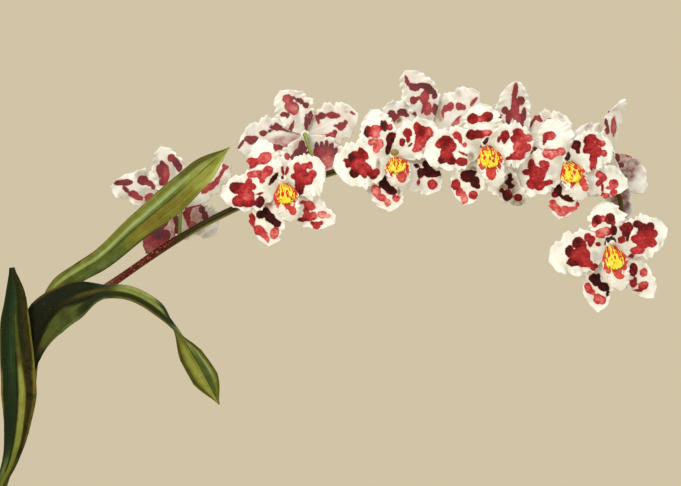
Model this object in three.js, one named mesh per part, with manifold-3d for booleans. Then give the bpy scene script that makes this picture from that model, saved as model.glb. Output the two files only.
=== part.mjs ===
import * as THREE from 'three';
import { mergeVertices } from 'three/addons/utils/BufferGeometryUtils.js';
import Module from 'manifold-3d';

const wasm = await Module();
wasm.setup();

// A crisped odontoglossum in a clay pot: three strap leaves and one arching spray of ten flowers.
// Millimetres, +Z up, the origin under the middle of the pot. The plant is looked at along +Y.

// clay pot
const POT_HEIGHT = 120;
const POT_TOP_RADIUS = 65;
const POT_FOOT_RADIUS = 46;
const POT_WALL = 5.5;
const POT_FLOOR = 7;
const RIM_HEIGHT = 24;
const RIM_STEP = 3.5;
const POT_SIDES = 30;
const DRAIN_COUNT = 3;
const DRAIN_RADIUS = 5;
const DRAIN_OFFSET = 25;

// what fills the pot
const GAP = 0.3;
const SLIVER = 0.01;
const COMPOST_TOP = 106;
const MOSS_EDGE_TOP = 113;
const MOSS_RISE = 9;
const MOSS_LUMP = 1.7;
const CROCK_SPAN = 24;
const CROCK_WIDTH = 20;
const CROCK_THICKNESS = 4.5;
const CROCK_RISE = 6;

// pseudobulbs: foot, height, width along X before turning, thickness, turn in degrees
const RHIZOME_SHOWS = 0.9;
const BULB_FOOT_Z = COMPOST_TOP + RHIZOME_SHOWS + GAP;
const BULBS = [
  { name: 'pseudobulb_1', x: -12, y: 0, height: 73, width: 34, thickness: 19, turn: 0, sheathSide: -22 },
  { name: 'pseudobulb_2', x: -31, y: 22, height: 62, width: 31, thickness: 18, turn: -38, sheathSide: 150 },
  { name: 'pseudobulb_3', x: -40, y: -9, height: 54, width: 28, thickness: 17, turn: 30, sheathSide: 235 },
];
const RHIZOME_RADIUS = 3.6;
const ROOT_RADIUS = 1.3;
const ROOT_COUNT = 6;

// leaves
const LEAF_THICKNESS = 1.3;
const LEAF_ROOM = 0.5;

// flower stem
const STEM_RADIUS_LOW = 2.8;
const STEM_RADIUS_HIGH = 1.9;
const PEDICEL_RADIUS = 1.5;
const STEM_SIDES = 7;
const STEM_STEPS = 46;

// flowers
const TEPAL_THICKNESS = 0.9;
const TEPAL_ROOT = 1.8;
const CLAW_HALF = 3;
const TIP_HALF = 0.7;
const HUB_RADIUS = 3.4;
const HUB_BACK = 3.2;
const COLUMN_LENGTH = 13;
const LIP_THICKNESS = 0.9;
const LIP_SIDE_LOBE = 2.8;
const LIP_SIDE_LOBE_AT = 0.28;
const LIP_SIDE_LOBE_SPAN = 0.2;
const CREST_THICKNESS = 1.7;
const FRONT = -1;
const BACK = 1;

const dorsal = (x, z, width = 27, more = {}) => ({ kind: 'dorsal', x, z, width, ...more });
const petal = (x, z, width = 34, more = {}) => ({ kind: 'petal', x, z, width, ...more });
const sepal = (x, z, width = 25, more = {}) => ({ kind: 'sepal', x, z, width, ...more });

// each flower: where its parts meet, the way it faces, and how far each tip lies from there, right and up;
// a tepal's bend carries its middle to the left of the line from root to tip, as seen from the front
const FLOWERS = [
  {
    at: [127.5, 21, 403.5], faces: BACK, stemX: 127, lip: [5, -24],
    tepals: [
      dorsal(-15, 47, 26, { lift: -2 }), petal(-53, 16, 28, { lift: -5, bend: -7 }),
      petal(38, 31, 28, { lift: -1, bend: 6 }), sepal(-26, -34, 23, { lift: -6 }),
      sepal(27, -20, 24, { lift: -5, bend: 3 }),
    ],
  },
  {
    at: [205.5, -22, 423.5], faces: FRONT, stemX: 194, lip: [6, -31],
    tepals: [
      dorsal(-18, 32, 24, { bend: 6 }), petal(-47, -11, 29, { lift: -1, bend: 2 }),
      petal(31, 11, 34, { lift: 2, bend: -3 }), sepal(-11, -49, 27, { bend: -6 }),
      sepal(39, -32, 24, { lift: 2, bend: -6 }),
    ],
  },
  {
    at: [221.3, 21, 459], faces: BACK, stemX: 231, lip: [3, -26],
    tepals: [
      dorsal(-19, 33, 29, { lift: -1, bend: -3 }), petal(-51, -11, 32, { lift: -6, bend: -4 }),
      petal(40, 16, 31, { lift: -4 }), sepal(-12, -33, 25, { lift: -5 }), sepal(26, -25, 26, { lift: -6 }),
    ],
  },
  {
    at: [288, -22, 443], faces: FRONT, stemX: 276, lip: [6, -24],
    tepals: [
      dorsal(-17, 34, 27, { bend: 3.5 }), petal(-46, -9, 36, { lift: 1, bend: 2 }), petal(32, 22, 31),
      sepal(-3, -43, 28, { bend: -5 }), sepal(35, -26, 27, { lift: -3 }),
    ],
  },
  {
    at: [316.5, 21, 466.5], faces: BACK, stemX: 322, lip: [2, -27],
    tepals: [
      dorsal(-20, 41, 27, { lift: -5, bend: -3 }), petal(-37, 12, 26, { lift: -1 }),
      petal(37, 24, 28, { lift: -3 }), sepal(-16, -34, 25, { lift: -3 }), sepal(19, -34, 25, { lift: -3 }),
    ],
  },
  {
    at: [355.5, -31, 451], faces: FRONT, stemX: 345, lip: [9, -33],
    tepals: [
      dorsal(-4, 30, 28), petal(-46, -9, 32, { lift: -1, bend: -1 }), petal(36, 2, 33, { bend: -2 }),
      sepal(-16, -46, 26, { bend: -4 }), sepal(30, -46, 22, { lift: -7, bend: -5 }),
    ],
  },
  {
    at: [387.8, 21, 459], faces: BACK, stemX: 392, lip: [2, -26],
    tepals: [
      dorsal(-8, 41, 25, { lift: -5, bend: 5 }), petal(-29, 19, 28, { lift: 0 }), petal(35, 8, 29, { lift: -4 }),
      sepal(-13, -30, 24, { lift: -2 }), sepal(16, -30, 24, { lift: -2 }),
    ],
  },
  {
    at: [416.5, -22, 439.5], faces: FRONT, stemX: 406, lip: [11, -31],
    tepals: [
      dorsal(-15, 30, 27), petal(-43, -18, 33, { lift: -2, bend: 1 }), petal(35, 9, 30, { bend: 2 }),
      sepal(-5, -45, 24, { bend: 2 }), sepal(46, -21, 26, { bend: -3 }),
    ],
  },
  {
    at: [452, 19, 445.5], faces: BACK, stemX: 438, lip: [3, -26],
    tepals: [
      dorsal(8, 41, 18, { roll: 45, lift: 1, bend: 6 }), petal(-27, 16, 29),
      petal(23, -32, 22, { lift: -4, roll: -12, bend: 4 }), sepal(-17, -33, 23),
      sepal(12, -50, 20, { lift: -7, bend: -4 }),
    ],
  },
  {
    at: [448.5, -24, 377.3], faces: FRONT, stemX: null, lip: [8, -36],
    tepals: [
      dorsal(-4, 31, 28), petal(-46, -14, 33, { lift: 1 }), petal(43, 11, 32, { lift: -1, bend: -2 }),
      sepal(-9, -52, 23, { bend: -4 }), sepal(33, -41, 23, { lift: 1 }),
    ],
  },
];

// how each kind of tepal fills out along its length, bows, waves and reflexes
const SEPAL_FORM = { rows: 5, columns: 2, layer: -1.7, bow: 0.7, tip: -4, cup: 1, wave: 1.2, waves: 2.5 };
const PETAL_FORM = { rows: 7, columns: 4, layer: 1.3, bow: 2, tip: -4, cup: 0.6, wave: 2, waves: 3.5 };
const TEPAL_FORMS = {
  dorsal: { ...SEPAL_FORM, widest: 1.05, full: 0.6 },
  sepal: { ...SEPAL_FORM, widest: 1.2, full: 0.6 },
  petal: { ...PETAL_FORM, widest: 1, full: 0.55 },
};

const radians = THREE.MathUtils.degToRad;
const mix = THREE.MathUtils.lerp;
const vector = (x, y, z) => new THREE.Vector3(x, y, z);

// closed geometry with shared corners, so that it can be joined and cut
function weld(geometry, nearness = 1e-4) {
  const bare = geometry.clone();
  bare.deleteAttribute('normal');
  bare.deleteAttribute('uv');
  const merged = mergeVertices(bare, nearness);
  const corners = merged.index.array;
  const kept = [];
  for (let i = 0; i < corners.length; i += 3) {
    const [a, b, c] = [corners[i], corners[i + 1], corners[i + 2]];
    if (a !== b && b !== c && c !== a) kept.push(a, b, c);
  }
  merged.setIndex(kept);
  return merged;
}

function solid(geometry) {
  const welded = weld(geometry);
  const vertProperties = Float32Array.from(welded.attributes.position.array);
  const triVerts = Uint32Array.from(welded.index.array);
  return new wasm.Manifold(new wasm.Mesh({ numProp: 3, vertProperties, triVerts }));
}

function geometryOf(body) {
  const mesh = body.getMesh();
  const geometry = new THREE.BufferGeometry();
  geometry.setAttribute('position', new THREE.BufferAttribute(Float32Array.from(mesh.vertProperties), 3));
  geometry.setIndex(new THREE.BufferAttribute(Uint32Array.from(mesh.triVerts), 1));
  return weld(geometry, SLIVER);
}

// the largest body of a solid, without loose scraps and with any sealed hollow filled
function largest(body) {
  return body.decompose().reduce((best, piece) => (piece.volume() > best.volume() ? piece : best));
}

const join = (bodies) => largest(bodies.reduce((whole, body) => whole.add(body)));
const cut = (body, cutters) => largest(cutters.reduce((rest, cutter) => rest.subtract(cutter), body));

// a thin blade between two faces that are split alike; place gives its middle surface,
// t from root to tip and s from edge to edge
function blade({ rows, columns, thickness, place }) {
  const middle = (i, j) => place(i / rows, (2 * j) / columns - 1);
  const perFace = (rows + 1) * (columns + 1);
  const positions = [];
  for (const face of [0.5, -0.5]) {
    for (let i = 0; i <= rows; i += 1) {
      for (let j = 0; j <= columns; j += 1) {
        const along = middle(Math.min(i + 1, rows), j).sub(middle(Math.max(i - 1, 0), j));
        const across = middle(i, Math.min(j + 1, columns)).sub(middle(i, Math.max(j - 1, 0)));
        const normal = along.cross(across).normalize();
        positions.push(...middle(i, j).addScaledVector(normal, face * thickness).toArray());
      }
    }
  }
  const upper = (i, j) => i * (columns + 1) + j;
  const lower = (i, j) => perFace + upper(i, j);
  const index = [];
  const rim = (ia, ja, ib, jb) => {
    index.push(upper(ia, ja), upper(ib, jb), lower(ib, jb), upper(ia, ja), lower(ib, jb), lower(ia, ja));
  };
  for (let i = 0; i < rows; i += 1) {
    for (let j = 0; j < columns; j += 1) {
      index.push(upper(i, j), upper(i + 1, j), upper(i + 1, j + 1));
      index.push(upper(i, j), upper(i + 1, j + 1), upper(i, j + 1));
      index.push(lower(i, j), lower(i + 1, j + 1), lower(i + 1, j));
      index.push(lower(i, j), lower(i, j + 1), lower(i + 1, j + 1));
    }
    rim(i + 1, 0, i, 0);
    rim(i, columns, i + 1, columns);
  }
  for (let j = 0; j < columns; j += 1) {
    rim(0, j, 0, j + 1);
    rim(rows, j + 1, rows, j);
  }
  const geometry = new THREE.BufferGeometry();
  geometry.setAttribute('position', new THREE.Float32BufferAttribute(positions, 3));
  geometry.setIndex(index);
  return geometry;
}

// a middle surface lifted off another one, towards the side that a direction shows
function lifted(place, height, towards) {
  const step = 0.02;
  return (t, s) => {
    const along = place(t + step, s).sub(place(t - step, s));
    const across = place(t, s + step).sub(place(t, s - step));
    const normal = along.cross(across).normalize();
    if (normal.dot(towards) < 0) normal.negate();
    return place(t, s).addScaledVector(normal, height);
  };
}

// a round bar that follows a curve, its radius given from end to end
function bar(curve, radiusAt, sides, steps) {
  const frames = curve.computeFrenetFrames(steps);
  const geometry = new THREE.CylinderGeometry(1, 1, 1, sides, steps);
  const position = geometry.attributes.position;
  for (let i = 0; i < position.count; i += 1) {
    const step = Math.round((position.getY(i) + 0.5) * steps);
    const t = step / steps;
    const point = curve.getPointAt(t);
    point.addScaledVector(frames.binormals[step], position.getX(i) * radiusAt(t));
    point.addScaledVector(frames.normals[step], position.getZ(i) * radiusAt(t));
    position.setXYZ(i, point.x, point.y, point.z);
  }
  return geometry;
}

function curveThrough(points) {
  return new THREE.CatmullRomCurve3(points.map((p) => vector(...p)), false, 'centripetal');
}

const group = new THREE.Group();

function addNode(name, body, colour, roughness) {
  const material = new THREE.MeshStandardMaterial({ color: colour, roughness, metalness: 0 });
  const mesh = new THREE.Mesh(geometryOf(body), material);
  mesh.name = name;
  group.add(mesh);
}

// clay pot, turned, with a rim band and three drain holes off its middle
function potInnerRadius(z) {
  return mix(POT_FOOT_RADIUS, POT_TOP_RADIUS - RIM_STEP, z / POT_HEIGHT) - POT_WALL;
}

function pot() {
  const belowRim = POT_HEIGHT - RIM_HEIGHT;
  const bodyRadius = mix(POT_FOOT_RADIUS, POT_TOP_RADIUS - RIM_STEP, belowRim / POT_HEIGHT);
  const profile = [
    [0, 0], [POT_FOOT_RADIUS - 1.5, 0], [POT_FOOT_RADIUS, 1.5], [bodyRadius, belowRim],
    [bodyRadius + RIM_STEP, belowRim + 1.5], [POT_TOP_RADIUS, POT_HEIGHT - 2], [POT_TOP_RADIUS - 2, POT_HEIGHT],
    [potInnerRadius(POT_HEIGHT) + 1.5, POT_HEIGHT], [potInnerRadius(POT_HEIGHT - 2), POT_HEIGHT - 2],
    [potInnerRadius(POT_FLOOR), POT_FLOOR], [0, POT_FLOOR],
  ];
  const turned = new THREE.LatheGeometry(profile.map((p) => new THREE.Vector2(...p)), POT_SIDES);
  turned.rotateX(Math.PI / 2);
  const body = solid(turned);
  return cut(body, drainAngles().map((angle) => {
    const drill = new THREE.CylinderGeometry(DRAIN_RADIUS, DRAIN_RADIUS, POT_FLOOR * 3, 8);
    drill.rotateX(Math.PI / 2);
    drill.translate(DRAIN_OFFSET * Math.cos(angle), DRAIN_OFFSET * Math.sin(angle), 0);
    return solid(drill);
  }));
}

function drainAngles() {
  return Array.from({ length: DRAIN_COUNT }, (_, i) => (2 * Math.PI * i) / DRAIN_COUNT + Math.PI / 2);
}

// a bent potsherd, hollow side down; filled down to the floor it is the room that it takes in the compost
function crock(angle, filled) {
  const grow = filled ? GAP : 0;
  const half = CROCK_SPAN / 2 + 2 * grow;
  const top = CROCK_RISE + CROCK_THICKNESS + 3 * grow;
  const shape = new THREE.Shape();
  shape.moveTo(-half, 0);
  shape.quadraticCurveTo(0, 2 * top, half, 0);
  if (!filled) {
    shape.lineTo(half - CROCK_THICKNESS, 0);
    shape.quadraticCurveTo(0, 2 * CROCK_RISE, -half + CROCK_THICKNESS, 0);
  }
  shape.closePath();
  const depth = CROCK_WIDTH + 2 * grow;
  const plate = new THREE.ExtrudeGeometry(shape, { depth, bevelEnabled: false, curveSegments: 5 });
  plate.translate(0, 0, -depth / 2);
  plate.rotateX(Math.PI / 2);
  plate.rotateZ(angle);
  const floor = POT_FLOOR + (filled ? 0 : GAP);
  plate.translate(DRAIN_OFFSET * Math.cos(angle), DRAIN_OFFSET * Math.sin(angle), floor);
  return solid(plate);
}

// an egg-shaped, flattened pseudobulb with blunt ribs
function bulb({ x, y, height, width, thickness, turn }, grow = 0) {
  const geometry = new THREE.SphereGeometry(1, 14, 9);
  const position = geometry.attributes.position;
  for (let i = 0; i < position.count; i += 1) {
    const level = (position.getY(i) + 1) / 2;
    const around = Math.atan2(position.getZ(i), position.getX(i));
    const girth = 1.06 - 0.3 * level + 0.05 * Math.cos(6 * around) * Math.sin(Math.PI * level);
    position.setX(i, position.getX(i) * girth * (width / 2 + grow));
    position.setZ(i, position.getZ(i) * girth * (thickness / 2 + grow));
    position.setY(i, level * (height + 2 * grow) - grow);
  }
  geometry.rotateX(Math.PI / 2);
  geometry.rotateZ(radians(turn));
  geometry.translate(x, y, BULB_FOOT_Z);
  return solid(geometry);
}

// the rhizome that the pseudobulbs stand on, with its roots going down into the compost
function rhizome(grow) {
  const z = COMPOST_TOP - RHIZOME_RADIUS + RHIZOME_SHOWS;
  const line = curveThrough([[-2, -4, z], [-12, 0, z], [-22, 13, z], [-31, 21, z], [-40, 12, z], [-42, -2, z],
    [-39, -12, z]]);
  const bodies = [solid(bar(line, () => RHIZOME_RADIUS + grow, 7, 10))];
  for (let i = 0; i < ROOT_COUNT; i += 1) {
    const start = line.getPointAt((i + 0.5) / ROOT_COUNT);
    const away = 2.4 * i;
    const reach = 6 + 2 * Math.sin(3.1 * i);
    const root = curveThrough([
      [start.x, start.y, start.z],
      [start.x + 0.4 * reach * Math.cos(away), start.y + 0.4 * reach * Math.sin(away), start.z - 10],
      [start.x + reach * Math.cos(away), start.y + reach * Math.sin(away), start.z - 30 - 2 * i - 2 * grow],
    ]);
    bodies.push(solid(bar(root, (t) => ROOT_RADIUS * (1 - 0.3 * t) + grow, 5, 3)));
  }
  return join(bodies);
}

// a dry papery sheath: a pointed blade that clasps the foot of its pseudobulb
function sheath({ x, y, width, thickness, turn, height }, side, grow = 0) {
  const reach = 0.5 * height;
  const place = (t, s) => {
    const level = mix(-grow, reach + grow, t) / height + 0.07;
    const spread = radians(62) * (1 + 0.08 * grow) * Math.max(Math.sin(Math.PI * (0.35 + 0.65 * t)), 0.06);
    const lean = radians(side) + s * spread;
    const girth = (1.13 - 0.3 * level) * Math.sqrt(1 - (2 * level - 1) ** 2);
    const flare = 1.2 + 3 * t * t;
    const point = vector(
      (girth * width * 0.5 + flare) * Math.cos(lean),
      (girth * thickness * 0.5 + flare) * Math.sin(lean),
      BULB_FOOT_Z + level * height,
    );
    point.applyAxisAngle(vector(0, 0, 1), radians(turn));
    return point.add(vector(x, y, 0));
  };
  return solid(blade({ rows: 4, columns: 6, thickness: 0.8 + 2 * grow, place }));
}

// compost: fills the pot up to the moss
function compost() {
  const profile = [
    [0, POT_FLOOR + GAP], [potInnerRadius(POT_FLOOR) - GAP, POT_FLOOR + GAP],
    [potInnerRadius(COMPOST_TOP) - GAP, COMPOST_TOP], [0, COMPOST_TOP],
  ];
  const fill = new THREE.LatheGeometry(profile.map((p) => new THREE.Vector2(...p)), POT_SIDES);
  fill.rotateX(Math.PI / 2);
  return solid(fill);
}

// living moss: a low cushion whose tufts are raised by a formula
function moss() {
  const rings = 6;
  const sides = 22;
  const outer = potInnerRadius(COMPOST_TOP) - 2 * GAP;
  const foot = COMPOST_TOP + GAP;
  const topAt = (x, y) => {
    const radius = Math.hypot(x, y) / outer;
    const tufts = Math.sin(0.31 * x + 1.3) * Math.cos(0.27 * y) + Math.sin(0.43 * y - 0.35 * x + 2);
    return MOSS_EDGE_TOP + MOSS_RISE * (1 - radius * radius) + MOSS_LUMP * 0.5 * tufts * (1 - 0.4 * radius);
  };
  const positions = [0, 0, topAt(0, 0), 0, 0, foot];
  const corner = (ring, side) => 2 + (ring - 1) * sides + (side % sides);
  for (let ring = 1; ring <= rings + 1; ring += 1) {
    const radius = (outer * Math.min(ring, rings)) / rings;
    for (let side = 0; side < sides; side += 1) {
      const angle = (2 * Math.PI * side) / sides;
      const [x, y] = [radius * Math.cos(angle), radius * Math.sin(angle)];
      positions.push(x, y, ring > rings ? foot : topAt(x, y));
    }
  }
  const index = [];
  for (let side = 0; side < sides; side += 1) {
    index.push(0, corner(1, side), corner(1, side + 1));
    index.push(1, corner(rings + 1, side + 1), corner(rings + 1, side));
    for (let ring = 1; ring <= rings; ring += 1) {
      const [a, b] = [corner(ring, side), corner(ring, side + 1)];
      const [c, d] = [corner(ring + 1, side), corner(ring + 1, side + 1)];
      index.push(a, c, b, b, c, d);
    }
  }
  const geometry = new THREE.BufferGeometry();
  geometry.setAttribute('position', new THREE.Float32BufferAttribute(positions, 3));
  geometry.setIndex(index);
  return solid(geometry);
}

// leaves: a spine from the root to the tip, and at each of its points the half width in the blade,
// the roll of the blade about the spine and how far its halves fold towards each other, in degrees
const LEAVES = {
  leaf_front: {
    rows: 15, colour: 0x2f4a26,
    spine: [[-17, -14.5, 106.7], [-16, -14.5, 140], [-12, -14.5, 175], [-6, -15, 197], [1, -16, 214.5],
      [5.5, -17, 236], [7.5, -18, 264], [6.5, -18.5, 290], [5.2, -18.5, 316], [5.6, -18, 338], [3, -17, 359]],
    half: [5.5, 6, 6.5, 7, 8.5, 11, 14.5, 13.5, 11.8, 8, 2],
    roll: [0, 0, 0, 0, 0, 2, 4, 4, 2, 0, 0],
    fold: [62, 62, 62, 60, 48, 34, 22, 18, 16, 14, 10],
  },
  leaf_arching: {
    rows: 22, colour: 0x3a4420,
    spine: [[-13.5, -2.6, 171], [-11, -4, 186], [-5, -5.5, 202], [5, -8, 232], [10, -9, 262], [15.5, -10, 292],
      [27, -13, 320], [49.5, -20, 336], [72, -24, 343], [92, -24, 341], [112.5, -22, 329.5], [125.5, -21, 314],
      [138, -20, 295], [148.5, -19, 276], [157.5, -18, 257]],
    half: [3.5, 4, 4.5, 5, 5.5, 8.5, 16.5, 16.8, 12, 10, 10, 11, 12.5, 11, 0.8],
    roll: [0, 0, 0, 0, 0, 0, 8, 32, 66, 60, 62, 92, 138, 160, 170],
    fold: [50, 50, 50, 44, 38, 26, 12, 12, 12, 8, 8, 10, 14, 14, 10],
  },
  leaf_upper: {
    rows: 18, colour: 0x6f7f35,
    spine: [[-9.5, 2.8, 171], [-6.5, 2.2, 190], [0, 1, 212], [8, 0, 240], [13, -0.5, 270], [17, -1, 296],
      [23.5, -2, 320], [36, -4, 344.5], [52, -6, 355.5], [69.5, -9, 366], [95.5, -15, 388.5], [122.5, -17, 410.5],
      [146, -17, 432], [165, -15, 448.5]],
    half: [3.5, 4, 4.5, 5, 5, 5, 6, 7.4, 7.8, 8.6, 10.2, 12, 10, 0.8],
    roll: [0, 0, 0, 0, 0, 0, 5, 10, 10, 10, 8, 6, 4, 0],
    fold: [50, 50, 50, 48, 44, 40, 34, 26, 20, 16, 14, 12, 12, 8],
  },
};

// a value between the ones listed, at even steps of the spine
function along(list, t) {
  const place = THREE.MathUtils.clamp(t, 0, 1) * (list.length - 1);
  const low = Math.min(Math.floor(place), list.length - 2);
  return mix(list[low], list[low + 1], THREE.MathUtils.smoothstep(place - low, -0.15, 1.15));
}

function leafPlace({ spine, half, roll, fold }, grow) {
  const curve = curveThrough([[spine[0][0], spine[0][1], spine[0][2] - 2 * grow], ...spine.slice(1)]);
  return (t, s) => {
    const point = curve.getPoint(THREE.MathUtils.clamp(t, 0, 1));
    const tangent = curve.getTangent(THREE.MathUtils.clamp(t, 0, 1));
    const back = vector(0, 1, 0);
    back.addScaledVector(tangent, -back.dot(tangent)).normalize();
    const side = tangent.clone().cross(back);
    side.applyAxisAngle(tangent, -radians(along(roll, t)));
    const face = side.clone().cross(tangent);
    const reach = Math.abs(s) * (along(half, t) + grow);
    const folded = radians(along(fold, t));
    point.addScaledVector(side, Math.sign(s) * reach * Math.cos(folded));
    return point.addScaledVector(face, reach * Math.sin(folded));
  };
}

function leaf(form, grow = 0) {
  const place = leafPlace(form, grow);
  const thickness = LEAF_THICKNESS + 2 * grow;
  return solid(blade({ rows: form.rows, columns: 4, thickness, place }));
}

// flower stem: up behind the first pseudobulb, over in an arch, and forward into the last flower
const LAST_FLOWER = FLOWERS.at(-1).at;
const STEM_FOOT = [-7, 14.5, COMPOST_TOP + 2 * GAP];
const STEM_LINE = curveThrough([
  STEM_FOOT, [-8, 14.5, 150], [-8, 13, 180], [-5, 10, 197], [1.5, 8, 218], [10, 7, 241], [15.5, 6.5, 267],
  [20, 6, 295], [31.5, 5, 316], [52.5, 3, 332], [76.5, 1, 347], [124.5, 0, 379.5], [169.5, 0, 403.5],
  [238, 0, 429], [277.5, 0, 439.5], [315, 0, 445.5], [360, 0, 447], [397.5, 0, 443.5], [427.5, 0, 437],
  [447, -1, 427], [457, -4, 411], [457, -8, 395], [452, -13, 382],
  [LAST_FLOWER[0], LAST_FLOWER[1] + HUB_BACK + GAP + 3.5, LAST_FLOWER[2]],
  [LAST_FLOWER[0], LAST_FLOWER[1] + HUB_BACK + GAP, LAST_FLOWER[2]],
]);
const stemRadius = (t) => mix(STEM_RADIUS_LOW, STEM_RADIUS_HIGH, THREE.MathUtils.smoothstep(t, 0.35, 1));

// where along the stem it first reaches a distance to the right
function stemShareAt(x) {
  let share = 0.25;
  while (STEM_LINE.getPointAt(share).x < x) share += 0.001;
  return share;
}

function pedicel({ at, faces, stemX }) {
  const start = STEM_LINE.getPointAt(stemShareAt(stemX));
  const end = vector(at[0], at[1] - faces * (HUB_BACK + GAP), at[2]);
  const bend = [mix(start.x, end.x, 0.6), mix(start.y, end.y, 0.35), mix(start.z, end.z, 0.6)];
  const line = curveThrough([start.toArray(), bend, [end.x, end.y - faces * 4, end.z], end.toArray()]);
  return solid(bar(line, () => PEDICEL_RADIUS, 5, 4));
}

// the small pointed bract under each pedicel
function bract({ stemX, faces }) {
  const share = stemShareAt(stemX - 6);
  const start = STEM_LINE.getPointAt(share);
  const tangent = STEM_LINE.getTangentAt(share);
  const out = vector(0, faces, 0.5).normalize();
  const across = tangent.clone().cross(out);
  const place = (t, s) => {
    const point = start.clone().addScaledVector(tangent, 5 * t);
    point.addScaledVector(out, stemRadius(share) - 0.6 + 3 * t);
    return point.addScaledVector(across, s * 2.4 * (1 - 0.8 * t));
  };
  return solid(blade({ rows: 1, columns: 2, thickness: 0.8, place }));
}

function flowerStem() {
  const onStem = FLOWERS.filter((flower) => flower.stemX !== null);
  const stem = solid(bar(STEM_LINE, stemRadius, STEM_SIDES, STEM_STEPS));
  return join([stem, ...onStem.map(pedicel), ...onStem.map(bract)]);
}

// one sepal or petal: claw, belly and reflexed point, with waves that grow towards its edges
function tepalPlace(flower, tepal, phase) {
  const form = TEPAL_FORMS[tepal.kind];
  const { lift = 0, roll = 0, bend = 0 } = tepal;
  const centre = vector(...flower.at);
  const length = Math.hypot(tepal.x, tepal.z);
  const ahead = vector(tepal.x / length, 0, tepal.z / length);
  const facing = vector(0, flower.faces, 0);
  const side = facing.clone().cross(ahead).applyAxisAngle(ahead, radians(roll));
  const rise = ahead.clone().cross(side).multiplyScalar(-1);
  if (rise.dot(facing) < 0) rise.negate();
  return (t, s) => {
    const belly = Math.max(Math.sin(Math.PI * t ** form.widest), 0) ** form.full;
    const half = Math.max((tepal.width / 2) * belly, mix(CLAW_HALF, TIP_HALF, t));
    const sway = Math.sin(2 * Math.PI * form.waves * t + phase + (s < 0 ? 2 : 0));
    const edge = s * s * THREE.MathUtils.smoothstep(t, 0.1, 0.5);
    const depth = form.layer + form.bow * Math.sin(Math.PI * t) + (form.tip + lift) * t * t
      + form.cup * s * s * t + form.wave * sway * edge;
    const point = centre.clone().addScaledVector(ahead, mix(TEPAL_ROOT, length, t));
    point.addScaledVector(side, s * half - flower.faces * bend * Math.sin(Math.PI * t));
    return point.addScaledVector(rise, depth);
  };
}

function column(flower) {
  const profile = [[0, 0], [2, 0.5], [2, 6], [2.7, COLUMN_LENGTH - 2], [0, COLUMN_LENGTH]];
  const geometry = new THREE.LatheGeometry(profile.map((p) => new THREE.Vector2(...p)), 6);
  if (flower.faces === FRONT) geometry.rotateX(Math.PI);
  geometry.rotateX(flower.faces * radians(8));
  geometry.translate(...flower.at);
  return solid(geometry);
}

function bloom(flower, number) {
  const hub = new THREE.CylinderGeometry(HUB_RADIUS, HUB_RADIUS, 2 * HUB_BACK, 7);
  hub.translate(...flower.at);
  const tepals = flower.tepals.map((tepal, i) => {
    const { rows, columns } = TEPAL_FORMS[tepal.kind];
    const place = tepalPlace(flower, tepal, 1.9 * number + 2.6 * i);
    return solid(blade({ rows, columns, thickness: TEPAL_THICKNESS, place }));
  });
  return join([solid(hub), column(flower), ...tepals]);
}

// lip: comes forward under the column with a lobe on each side, then hangs, broad and fringed
function lipPlace(flower, number) {
  const [tipX, tipZ] = flower.lip;
  const facing = vector(0, flower.faces, 0);
  const root = vector(...flower.at).addScaledVector(facing, 4.3).add(vector(0, 0, -2.2));
  const tip = vector(...flower.at).add(vector(tipX, 0, tipZ)).addScaledVector(facing, 6);
  const ahead = tip.clone().sub(root);
  const side = facing.clone().cross(vector(tipX, 0, tipZ).normalize());
  return (t, s) => {
    const share = Math.min(Math.max(t, 0), 1);
    const lobe = LIP_SIDE_LOBE * Math.exp(-(((share - LIP_SIDE_LOBE_AT) / LIP_SIDE_LOBE_SPAN) ** 2));
    const half = 3 + lobe + 6.6 * Math.sin(Math.PI * share ** 1.6) ** 0.55 - 2.2 * share;
    const sway = Math.sin(6 * Math.PI * t + number + (s < 0 ? 1.7 : 0));
    const depth = 7 * Math.sin(Math.PI * share) + (1.1 * sway - 1.4) * s * s * share;
    const point = root.clone().addScaledVector(ahead, t);
    point.addScaledVector(side, s * half);
    return point.addScaledVector(facing, depth);
  };
}

function lip(flower, number) {
  const place = lipPlace(flower, number);
  return solid(blade({ rows: 6, columns: 2, thickness: LIP_THICKNESS, place }));
}

// crest: a pair of fleshy ridges on the waist of the lip
function crest(flower, number) {
  const under = lipPlace(flower, number);
  const facing = vector(0, flower.faces, 0);
  const height = LIP_THICKNESS / 2 + GAP + CREST_THICKNESS / 2 + 0.15;
  const narrow = (t, s) => under(0.1 + 0.42 * t, s * (0.62 - 0.2 * t));
  const place = lifted(narrow, height, facing);
  return solid(blade({ rows: 2, columns: 4, thickness: CREST_THICKNESS, place: (t, s) => {
    const ridge = 0.9 * Math.sin(Math.PI * Math.abs(s)) * (1 - 0.5 * t);
    return place(t, s).addScaledVector(facing, ridge);
  } }));
}

const crockRooms = drainAngles().map((angle) => crock(angle, true));
const leafRooms = Object.entries(LEAVES).map(([name, form]) => [name, leaf(form, LEAF_ROOM)]);
const leafRoom = Object.fromEntries(leafRooms);
const stemRoom = new THREE.CylinderGeometry(STEM_RADIUS_LOW + 2 * GAP, STEM_RADIUS_LOW + 2 * GAP, 60, 10);
stemRoom.rotateX(Math.PI / 2);
stemRoom.translate(...STEM_FOOT);
const bulbRooms = BULBS.map((form) => bulb(form, GAP));
const rhizomeRoom = rhizome(GAP);
const sheathRooms = BULBS.map((form) => sheath(form, form.sheathSide, GAP));

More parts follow.
